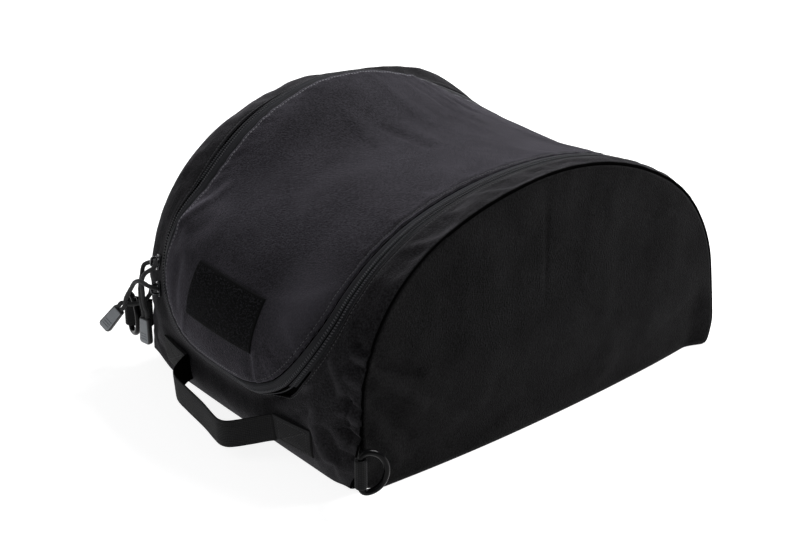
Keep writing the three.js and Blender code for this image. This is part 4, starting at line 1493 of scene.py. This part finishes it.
class HELMETBAG_OT_zip(bpy.types.Operator):
    """Build the zip's two tapes and its coil"""

    bl_idname = "helmet_bag.zip"
    bl_label = "Zip"

    def execute(self, context):
        sizes, colours = settings(context)
        band, pitch = sizes.zip_band / MM, sizes.tooth / MM
        stations = zip_stations(2.2)
        walk = walked(stations[:, :2])
        tape, dark = tape_finish("zip_tape", colours.tape), painted_shade_finish()
        edges = (("zip_tape_inner", -TAPE_UNDER_LID, band / 2 - GAP, "zip_tape_lid_side"),
                 ("zip_tape_outer", band / 2 + GAP, band - GAP, "zip_tape_body_side"))
        for name, near, far, node in edges:
            grow = with_edges(near, far, 1.0)
            depth = self.sink(grow, band)
            outer, inner = (self.strip(stations, grow, depth + below) for below in (0.0, TAPE_THICK))
            uv = np.stack(np.broadcast_arrays(grow[None, :], walk[:, None]), -1)
            piece = wall(name, outer, inner, uv, -self.shade(stations, grow, band))
            settle(piece, tape, node, dark=dark)
        bright = toned(colours.tape, COIL_TONE)
        coil = grained_finish("zip_coil", bright, roughness=0.42, grain=2500.0, depth=0.00002, specular=0.35)
        parts = [self.teeth(side, band, pitch) for side in (-1, 1)]
        settle(join("zip_teeth", parts), coil, "zip_coil")
        return {"FINISHED"}

    def teeth(self, side, band, pitch):
        """One row of the coil's slanting teeth, beside the zip's middle line."""
        stations = zip_stations(pitch)
        way = stations[:, 2:]
        grow = band / 2 + side * COIL_OFF
        place = stations[:, :2] + grow * way
        slant = unit(way * side + COIL_SLANT * np.stack([-way[:, 1], way[:, 0]], -1))
        surface = partial(self.laid, depth=self.sink(grow, band))
        seat = surface_frame(surface, place[:, 0], place[:, 1], slant)
        return beads(f"zip_teeth_{side}", *seat, TOOTH_LENGTH, TOOTH_SHARE * pitch, TOOTH_HEIGHT)

    @staticmethod
    def sink(grow, band):
        """Depth of the tape: low beside the lid, at its middle line and under the cloth that laps over it."""
        middle = np.abs(grow - band / 2)
        low = 2.9 * tail(grow, 0, 1.6) + 1.7 * rise(grow, 10.5, 3.5)
        return 0.5 + low + 0.9 * peak(middle, 0, 0.5) - 0.4 * peak(middle, COIL_OFF, 1.2)

    @staticmethod
    def shade(stations, grow, band):
        """Darkness beside the lid, at the middle line, where cloth laps over and below the lip's corner."""
        x, along = stations[:, :1], stations[:, 1:2]
        turn = np.degrees(np.arctan2(stations[:, 2:3], -stations[:, 3:]))
        beside = (0.3 + 0.7 * rise(x, -60, 80)) * tail(grow, 0, 0.8)
        middle = 0.9 * peak(grow, band / 2, 0.5)
        soft = 0.9 + 0.5 * rise(turn, 40, 10) * fall(turn, 70, 15)
        lapped = (1 - 0.6 * rise(turn, 50, 25)) * tail(band - lap_at(x, along) - grow, 0, soft)
        corner = rise(turn, 16, 5) * fall(turn, 48, 8) * rise(grow, 9.8, 0.6)
        return np.minimum(beside + middle + lapped + corner, 1)

    @staticmethod
    def laid(x, along, depth):
        return skin(x, along, depth + lip_tuck(x, along))

    def strip(self, stations, grow, depth):
        x = stations[:, :1] + grow[None, :] * stations[:, 2:3]
        along = stations[:, 1:2] + grow[None, :] * stations[:, 3:]
        return self.laid(x, along, np.broadcast_to(depth[None, :], x.shape))


class HELMETBAG_OT_body(bpy.types.Operator):
    """Build the lower front with both side strips, the back and the base"""

    bl_idname = "helmet_bag.body"
    bl_label = "Front, sides, back and base"

    def execute(self, context):
        sizes, colours = settings(context)
        cloth = cloth_finish("body_cloth", colours.body, wear=0.35, sheen=0.092, contrast=0.8)
        dark, thread = painted_shade_finish(), thread_finish("strip_thread", colours.thread)
        band, pitch = sizes.zip_band / MM, sizes.stitch / MM
        SETTLED["body"] = self.simulate(band, sizes.wrinkle)

        def topstitch(name, path):
            settle(seam(name, surface, path, pitch, 0.65, 0.35), thread, None)

        def surface(x, along):
            return body_surface(context, x, along, STITCH_SUNK + lip_tuck(x, along))

        piece = settle(self.surround(sizes, band), cloth, "surround_panel", dark=dark)
        stations = zip_stations(2.0)
        lap = lap_at(stations[:, 0], stations[:, 1])
        topstitch("strip_topstitch", stations[:, :2] + (band - lap + STRIP_STITCH)[:, None] * stations[:, 2:])
        piece = settle(self.back(sizes), cloth, "back_panel", dark=dark)
        piece = settle(self.base(), cloth, "base_panel")
        across = even(8 - RIM_X, RIM_X - 8, 4.0)
        topstitch("hinge_topstitch", np.stack([across, np.full(across.shape, LID_HINGE + HINGE_STITCH)], -1))
        return {"FINISHED"}

    @staticmethod
    def simulate(band, share):
        """Lets the cloth round the zip settle between its seams."""
        x, along = even(-RIM_X, RIM_X, 5.0), even(0, LID_HINGE, 5.0)
        grid = np.meshgrid(x, along)
        held = (beyond_lid(*grid) < band + 1) | (RIM_X - np.abs(grid[0]) < 4) | (grid[1] < 4)

        def face(u, v):
            return skin(u, v, -body_lift(u, v, share)[0])

        return drape(face, x, along, held, slack=0.015, cap=2.5)

    @staticmethod
    def faces(x, along, share, from_zip):
        """Outer and inner face of the cloth, turned in at its edges and thin over the zip, and its painted
        light and wear.
        """
        lift, wear = body_lift(x, along, share)
        from_rim = RIM_X - np.abs(x)
        from_floor = np.minimum(along, ARCH_LENGTH - along)
        turned = rolled(from_rim, 1.8) + rolled(from_zip, 1.2) + rolled(from_floor, 2.0)
        under = HINGE_TUCK * ease(-from_zip / 1.2)
        stitched = 0.35 * peak(from_zip, STRIP_STITCH, 0.9)
        depth = turned + under + stitched + lip_tuck(x, along) - lift * np.clip(from_floor / 12, 0, 1)
        nearest = np.minimum(np.minimum(from_rim, from_floor), from_zip)
        thick = (1.0 + 1.6 * rise(from_zip, 9, 4)) * np.clip(nearest / 2, 0.2, 1)
        # Painted shade in the rim's seam and in the gap below the lid's right corner.
        shade = peak(from_rim, 0, 0.6) + peak(lip_turn(x, along), 26, 12) * peak(from_zip, 0, 2.4)
        return tucked(skin(x, along, depth)), tucked(skin(x, along, depth + thick)), wear - shade

    def surround(self, sizes, band):
        """Lower front and both side strips, one U of cloth round the zip."""
        top = LID_LIP - band + LAP[0, 1]
        foot, lip = np.array([0, 0.4, 1.0, 1.8, 2.6]), np.array([3.0, 2.0, 1.2, 0.6, 0.2, 0.0])
        front = np.concatenate([foot, even(4.0, top - 4, 2.6), top - lip])
        start, end = LID_CORNER[-1] - LID_HALF, LID_HALF - LID_CORNER[1]
        grid = [self.columns(start, along, end, along) for along in front]
        for row in corner_rows()[1:]:
            left, right = (lid_edge(side, row, band - lap_at(side, row)) for side in (-1, 1))
            grid.append(self.columns(*left, *right))
        x, along = np.array(grid).transpose(2, 0, 1)
        from_zip = beyond_lid(x, along) - band + lap_over(x, along)
        outer, inner, wear = self.faces(x, along, sizes.wrinkle, np.maximum(0, from_zip))
        keep = np.ones((x.shape[0] - 1, x.shape[1] - 1), bool)
        arm = len(self.arm()) - 1
        keep[len(front) - 1:, arm:-arm] = False
        return wall("surround_cloth", outer, inner, np.stack([x, along], -1), wear, keep)

    @staticmethod
    def arm():
        """Shares of a side strip's width, closer together at its edges."""
        width = 40
        return with_edges(0, width, 1.0) / width

    def columns(self, left, left_along, right, right_along):
        """Places of a row: across the left strip, over to the right strip, and across it."""
        share = self.arm()
        near_left = -RIM_X + share * (left + RIM_X)
        near_right = right + share * (RIM_X - right)
        middle = np.linspace(left, right, 16)[1:-1]
        x = np.concatenate([near_left, middle, near_right])
        along = np.repeat([left_along, right_along], [len(share) + len(middle), len(share)])
        return np.stack([x, along], -1)

    def back(self, sizes):
        """Cloth behind the hinge line, which reaches a little way under the lid, and down to the floor."""
        edge, foot = np.array([-5, -1.2, -0.6, 0, 0.4, 1.0, 1.8, 2.8]), np.array([3.0, 2.0, 1.2, 0.5, 0.0])
        middle = even(LID_HINGE + 5, ARCH_LENGTH - 5, 3.4)
        rows = np.concatenate([LID_HINGE + edge, middle, ARCH_LENGTH - foot])
        x, along = np.broadcast_arrays(with_edges(-RIM_X, RIM_X, 4.0)[None, :], rows[:, None])
        outer, inner, wear = self.faces(x, along, sizes.wrinkle, along - LID_HINGE)
        return wall("back_cloth", outer, inner, np.stack([x, along], -1), wear)

    @staticmethod
    def base():
        """Flat floor of the bag, sagging a little."""
        low, high = (np.array(corner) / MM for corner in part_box("base_panel"))
        x, y = np.meshgrid(with_edges(low[0], high[0], 6.0), with_edges(low[1], high[1], 6.0))
        edge = np.minimum(np.minimum(x - low[0], high[0] - x), np.minimum(y - low[1], high[1] - y))
        sag = 0.3 * (1 + ripple(x, y, 40, 31)) * ease(edge / 20)
        top = np.stack([x, y, high[2] - rolled(edge, 1.6)], -1)
        bottom = np.stack([x, y, rolled(edge, 1.6) + sag], -1)
        return wall("base_cloth", tucked(top), tucked(bottom), np.stack([x, y], -1), 0 * x)


class HELMETBAG_OT_ends(bpy.types.Operator):
    """Build the D-shaped padded ends"""

    bl_idname = "helmet_bag.ends"
    bl_label = "Ends"

    def execute(self, context):
        sizes, colours = settings(context)
        cloth = cloth_finish("end_cloth", colours.ends, wear=0.3, sheen=0.028, contrast=1.0)
        dark = painted_shade_finish()
        for name, side in (("right", 1), ("left", -1)):
            SETTLED[f"end_{side}"] = self.simulate(side, sizes.wrinkle)
            panel = self.panel(f"end_cloth_{name}", side, sizes.wrinkle)
            piece = settle(panel, cloth, f"end_panel_{name}", dark=dark)
        return {"FINISHED"}

    @staticmethod
    def rim(side):
        """Edge of the panel in Y and Z, up from the front foot, over and down to the back foot."""
        return skin(side * (RIM_X - 0.5), even(0, ARCH_LENGTH, END_STEP), 2.1)[:, 1:]

    @staticmethod
    def from_rim(rim, y, z):
        """Distance of places on the panel from its rim."""
        return np.min(np.hypot(y[..., None] - rim[:, 0], z[..., None] - rim[:, 1]), -1)

    @staticmethod
    def lift(side, y, z, share):
        """Soft upright creases of the panel."""
        height = 0.3 * ripple(y, z * 0.35, 42, 41 + side) + 0.09 * ripple(y, z * 0.4, 16, 43 + side)
        height = height + 0.1 * ripple(y, z, 8, 45) + folds(END_FOLDS, y, z)[0]
        crease = peak(y, -15, 2.6) * rise(z, 95, 50) * fall(z, 205, 20)
        return share * (height - 0.4 * crease + settled(f"end_{side}", y, z))

    def simulate(self, side, share):
        """Lets the panel's cloth settle within its rim."""
        y, z = even(-206, 200, 6.0), even(0, 216, 6.0)
        grid_y, grid_z = np.meshgrid(y, z)
        rim = self.rim(side)
        top = np.interp(grid_y, rim[:, 0], rim[:, 1], left=0, right=0)
        held = (grid_z > top) | (self.from_rim(rim, grid_y, grid_z) < 6) | (grid_z < 5)

        def face(u, v):
            return np.stack([side * (RIM_X + self.lift(side, u, v, share)), side * u, v], -1)

        return drape(face, y, z, held, slack=0.001, cap=0.45)

    def panel(self, name, side, share):
        """Padded panel: rings of points that shrink from its outline to its middle."""
        rim = self.rim(side)
        foot = even(rim[-1, 0], rim[0, 0], END_STEP)[1:-1]
        outline = np.concatenate([rim, np.stack([foot, np.zeros(len(foot))], -1)])
        near = np.array([0, 0.003, 0.007, 0.012, 0.018, 0.026, 0.036, 0.05])
        scale = 1 - np.concatenate([near, np.linspace(0.066, 1.0, 52)])[:, None]
        y, z = np.moveaxis(END_MIDDLE + (outline - END_MIDDLE) * scale[..., None], -1, 0)
        from_rim = self.from_rim(rim, y, z)
        edge = np.minimum(from_rim, z)
        walk = np.broadcast_to(np.arange(len(outline)) * END_STEP, y.shape)
        height = self.lift(side, y, z, share) + share * puckers(walk, from_rim, *END_PUCKERS, 46 + side)
        face = RIM_X + END_PROUD + END_BULGE * (1 - scale ** 2) * ease(z / 60)
        face = face + (foot_line(y) - face) * ease(1 - z / 70) * ease(from_rim / 25)
        out = face + height * np.clip(edge / 10, 0.1, 1) - rolled(from_rim, 2.6) - rolled(z, 1.0)
        inner = out - END_THICK * np.clip(edge / 4, 0.15, 1)
        points = [tucked(np.stack([side * x, y, z], -1)) for x in (out, inner)]
        # Painted highlight along the foot, where the turned edge catches the floor's light; painted shade in
        # the rim's seam.
        wear = 1.2 * peak(z, 1.6, 1.3) * ease(from_rim / 8) - peak(from_rim, 0, 0.9)
        return wall(name, *points, np.stack([y, z], -1), wear, loop=True)


class HELMETBAG_OT_patch(bpy.types.Operator):
    """Build the patch of loop pile on the front of the lid"""

    bl_idname = "helmet_bag.patch"
    bl_label = "Loop patch"

    def execute(self, context):
        sizes, colours = settings(context)
        rows, across = with_edges(PATCH_LOW, PATCH_HIGH, 2.4), with_edges(-PATCH_HALF, PATCH_HALF, 2.4)
        x, along = np.broadcast_arrays(across[None, :], rows[:, None])
        edge = np.minimum(PATCH_HALF - np.abs(x), np.minimum(along - PATCH_LOW, PATCH_HIGH - along))
        outer = lid_surface(context, x, along, rolled(edge, 0.9) - PATCH_TOP)
        inner = lid_surface(context, x, along, np.full(x.shape, -0.2))
        ground = wall("patch_ground", outer, inner, np.stack([x, along], -1), 0 * x)
        fluff = {"grain": 1400.0, "depth": 0.0003, "specular": 0.1}
        pile = grained_finish("loop_pile", colours.pile, roughness=0.95, sheen=0.06, **fluff)
        settle(ground, pile, "loop_patch")
        tips = toned(colours.pile, PILE_TONE)
        loops = grained_finish("loop_tips", tips, roughness=0.9, **fluff)
        settle(self.pile(context), loops, None)
        x, low, high = PATCH_HALF - PATCH_STITCH, PATCH_LOW + PATCH_STITCH, PATCH_HIGH - PATCH_STITCH
        border = np.array([(-x, low), (x, low), (x, high), (-x, high), (-x, low)])
        surface = partial(lid_surface, context, depth=-1.2)
        stitches = seam("patch_stitches", surface, border, sizes.stitch / MM)
        settle(stitches, thread_finish("patch_thread", colours.pile, 0.7, 0.1), None)
        return {"FINISHED"}

    @staticmethod
    def pile(context):
        """Tips of the loops, strewn over the patch and leaning every way."""
        draw = np.random.default_rng(51)
        x = draw.uniform(PILE_BORDER - PATCH_HALF, PATCH_HALF - PILE_BORDER, PILE_COUNT)
        along = draw.uniform(PATCH_LOW + PILE_BORDER, PATCH_HIGH - PILE_BORDER, PILE_COUNT)
        turn = draw.uniform(0, 2 * math.pi, PILE_COUNT)
        surface = partial(lid_surface, context, depth=-PATCH_TOP)
        place, run, side, out = surface_frame(surface, x, along, np.stack([np.cos(turn), np.sin(turn)], -1))
        lean = draw.normal(0, 0.45, (PILE_COUNT, 2))
        upright = unit(out + lean[:, :1] * run + lean[:, 1:] * side)
        flat = unit(np.cross(upright, side))
        run = np.cross(flat, upright) * draw.uniform(0.8, 1.3, (PILE_COUNT, 1))
        return beads("patch_pile", place, run, flat, upright, *PILE_TIP)


class HELMETBAG_OT_handle(bpy.types.Operator):
    """Build the webbing carry handle with its sewn ends"""

    bl_idname = "helmet_bag.handle"
    bl_label = "Carry handle"

    def execute(self, context):
        sizes, colours = settings(context)
        width, ply = sizes.webbing / MM, sizes.ply / MM
        up = with_edges(width / 2, -width / 2, 2.0)
        tab = with_edges(HANDLE_OUTER, HANDLE_INNER, 2.0)
        loop = even(HANDLE_INNER, -HANDLE_INNER, 1.0)[1:-1]
        stations = np.concatenate([tab, loop, -tab[::-1]])
        outer, inner = (self.face(stations, up, width, ply, plies) for plies in (1.0, 0.0))
        uv = np.stack(np.broadcast_arrays(up[None, :], stations[:, None]), -1)
        # The strap's inner face, turned to the bag, is painted dark near its roots: painted shade.
        inside = np.broadcast_to(-1.0 * (np.abs(stations) < HANDLE_INNER + 2)[:, None], uv.shape[:2])
        strap = wall("handle_webbing", outer, inner, uv, np.zeros(uv.shape[:2]), inside=inside)
        webbing = webbing_finish("handle_webbing", colours.webbing)
        settle(strap, webbing, "handle_strap", dark=painted_shade_finish())
        thread = thread_finish("handle_thread", toned(colours.thread, 0.5))
        surface = partial(skin, depth=-0.35 - 2 * ply)
        x0, x1, a0, a1 = HANDLE_INNER + 5, HANDLE_OUTER - 4, HANDLE_LOW + 3, HANDLE_LOW + width - 3
        crossed = np.array([(x0, a0), (x1, a0), (x1, a1), (x0, a1), (x0, a0), (x1, a1), (x1, a0), (x0, a1)])
        rows = [seam(f"handle_stitch_{side}", surface, crossed * (side, 1), sizes.stitch / MM, 0.7, 0.4)
                for side in (-1, 1)]
        settle(join("handle_stitches", rows), thread, None)
        return {"FINISHED"}

    @staticmethod
    def face(stations, up, width, ply, plies):
        """Outer or inner face of the strap: sewn flat at its tabs, bowed out and leaning between them."""
        middle = HANDLE_LOW + width / 2
        root = skin(HANDLE_INNER, middle, -GAP - ply)
        sewn = skin(HANDLE_INNER, middle + 1) - skin(HANDLE_INNER, middle - 1)
        sewn_lean = math.atan2(-sewn[1], sewn[2])
        ribs = plies * HANDLE_RIB * np.cos(2 * math.pi * up / HANDLE_RIB_PITCH)

        def centre(x):
            out = hermite(HANDLE_BOW, 1, np.array(x))
            y, z = root[1] - out * math.cos(HANDLE_DIP), root[2] - out * math.sin(HANDLE_DIP)
            return np.stack([x, y, z], -1)

        grid = []
        for x in stations:
            away = np.minimum(width / 2 - np.abs(up), HANDLE_OUTER - abs(x))
            edge = rolled(away, 0.8) * (1 if plies else -1)
            if abs(x) >= HANDLE_INNER:
                depth = -HANDLE_SEAT - 2 * plies * ply + edge - ribs
                grid.append(skin(np.full(up.shape, x), middle + up, depth))
                continue
            bow = hermite(HANDLE_BOW, 1, np.array(x)) / HANDLE_BOW[:, 1].max()
            lean = sewn_lean * (1 - bow) + HANDLE_LEAN * bow
            upward = np.array([0, -math.sin(lean), math.cos(lean)])
            out = unit(np.cross(unit(centre(x + 1.0) - centre(x - 1.0)), upward))
            thick = plies * ply - edge + ribs
            grid.append(centre(x) + up[:, None] * upward + thick[:, None] * out)
        return np.array(grid)


class HELMETBAG_OT_rings(bpy.types.Operator):
    """Build the D-rings and the webbing tabs that hold them"""

    bl_idname = "helmet_bag.rings"
    bl_label = "D-rings and tabs"

    def execute(self, context):
        sizes, colours = settings(context)
        webbing, dark = webbing_finish("tab_webbing", colours.webbing), painted_shade_finish()
        gloss = grained_finish(
            "ring_gloss", colours.gloss, roughness=0.18, grain=500.0, depth=0.00003, specular=0.07)
        wire, ply, width = sizes.ring_wire / MM, sizes.ply / MM, sizes.webbing / MM
        for name, side, middle, turn in RINGS:
            away = np.array([side * RING_AWAY[0], RING_AWAY[1], 0.0])
            root = np.array([side * RIM_X, float(arch_at(middle)[0]), middle])
            bar = root + away * RING_REACH
            tab = self.tab(f"ring_tab_{name}_webbing", root, bar, away, wire, ply, width)
            self.shade(tab, bar, away, width)
            settle(tab, webbing, f"ring_tab_{name}", dark=dark)
            ring = self.ring(f"d_ring_{name}_wire", bar, turn, wire)
            settle(ring, gloss, f"d_ring_{name}", f"ring_{name}")
        return {"FINISHED"}

    @staticmethod
    def ring(name, bar, turn, wire):
        """D-ring: a straight bar, two tight corners and a wide bow."""
        flat = RING_HALF_HEIGHT - RING_CORNER
        bend = np.linspace(math.pi, math.pi / 2, 8)
        upper = np.stack([RING_CORNER + RING_CORNER * np.cos(bend), flat + RING_CORNER * np.sin(bend)], -1)
        angle = np.linspace(math.pi / 2, -math.pi / 2, 48)[1:-1]
        deep = RING_DEPTH - RING_CORNER
        bow = np.stack([RING_CORNER + deep * np.cos(angle), RING_HALF_HEIGHT * np.sin(angle)], -1)
        lower = upper[::-1] * np.array([1, -1])
        straight = np.stack([np.zeros(13), np.linspace(-flat, flat, 15)[1:-1]], -1)
        outline = np.concatenate([upper, bow, lower, straight])
        way = np.array([math.cos(turn), math.sin(turn), 0.0])
        path = bar + outline[:, :1] * way + outline[:, 1:] * np.array([0.0, 0.0, 1.0])
        normals = np.tile((-math.sin(turn), math.cos(turn), 0.0), (len(path), 1))
        return sweep(name, path, normals, round_section(wire / 2, 20), closed=True)

    @staticmethod
    def tab(name, root, bar, away, wire, ply, width):
        """Tab: out from the corner's seam, round the ring's bar and back."""
        across = np.array([-away[1], away[0], 0.0])
        hole, apart, legs = wire / 2 + 0.5, 0.12, 8
        start = root + away * 0.6
        angle = np.linspace(math.pi / 2, -math.pi / 2, 16)
        ways = np.array([away * math.cos(a) + across * math.sin(a) for a in angle])
        turned = bar + hole * ways
        near, far = start + across * apart, start - across * apart
        share = np.linspace(0, 1, legs + 1)[:-1, None]
        there, back = near + (turned[0] - near) * share, far + (turned[-1] - far) * share
        path = np.concatenate([there, turned, back[::-1]])
        normals = np.concatenate([np.tile(across, (legs, 1)), ways, np.tile(-across, (legs, 1))])
        return sweep(name, path, normals, strap_section(width, ply, 0.7, 14))

    @staticmethod
    def shade(tab, bar, away, width):
        """Darkens the thin edges of the tab's two legs, which lie in shadow behind the ring's bar."""
        points = np.zeros(3 * len(tab.data.vertices))
        tab.data.vertices.foreach_get("co", points)
        points = points.reshape(-1, 3) / MM - bar
        edge = (np.abs(points[:, 2]) > width / 2 - 1.2) & (points @ away < -0.5)
        keep_painted_light_and_wear(tab.data, np.where(edge, -1.0, 0.0))


class HELMETBAG_PT_panel(bpy.types.Panel):
    """Lists the bag's pieces and settings in the sidebar"""

    bl_idname = "HELMETBAG_PT_panel"
    bl_label = "Helmet bag"
    bl_space_type = "VIEW_3D"
    bl_region_type = "UI"
    bl_category = "Helmet bag"

    def draw(self, context):
        for operator in OPERATORS:
            self.layout.operator(operator.bl_idname)
        for group in (*settings(context), context.scene.helmet_bag_stage):
            box = self.layout.box()
            for key in group.__annotations__:
                box.prop(group, key)


OPERATORS = (
    HELMETBAG_OT_stage,
    HELMETBAG_OT_pulls,
    HELMETBAG_OT_lid,
    HELMETBAG_OT_zip,
    HELMETBAG_OT_body,
    HELMETBAG_OT_ends,
    HELMETBAG_OT_patch,
    HELMETBAG_OT_handle,
    HELMETBAG_OT_rings,
)
CLASSES = (HelmetBagSizes, HelmetBagColours, HelmetBagStage, *OPERATORS, HELMETBAG_PT_panel)


def register():
    for cls in CLASSES:
        bpy.utils.register_class(cls)
    bpy.types.Scene.helmet_bag_sizes = bpy.props.PointerProperty(type=HelmetBagSizes)
    bpy.types.Scene.helmet_bag_colours = bpy.props.PointerProperty(type=HelmetBagColours)
    bpy.types.Scene.helmet_bag_stage = bpy.props.PointerProperty(type=HelmetBagStage)


def unregister():
    del bpy.types.Scene.helmet_bag_stage
    del bpy.types.Scene.helmet_bag_colours
    del bpy.types.Scene.helmet_bag_sizes
    for cls in reversed(CLASSES):
        bpy.utils.unregister_class(cls)


def main():
    register()
    bpy.ops.helmet_bag.stage()
    bpy.ops.helmet_bag.pulls()
    bpy.ops.helmet_bag.lid()
    bpy.ops.helmet_bag.zip()
    bpy.ops.helmet_bag.body()
    bpy.ops.helmet_bag.ends()
    bpy.ops.helmet_bag.patch()
    bpy.ops.helmet_bag.handle()
    bpy.ops.helmet_bag.rings()


if __name__ == "__main__":
    main()
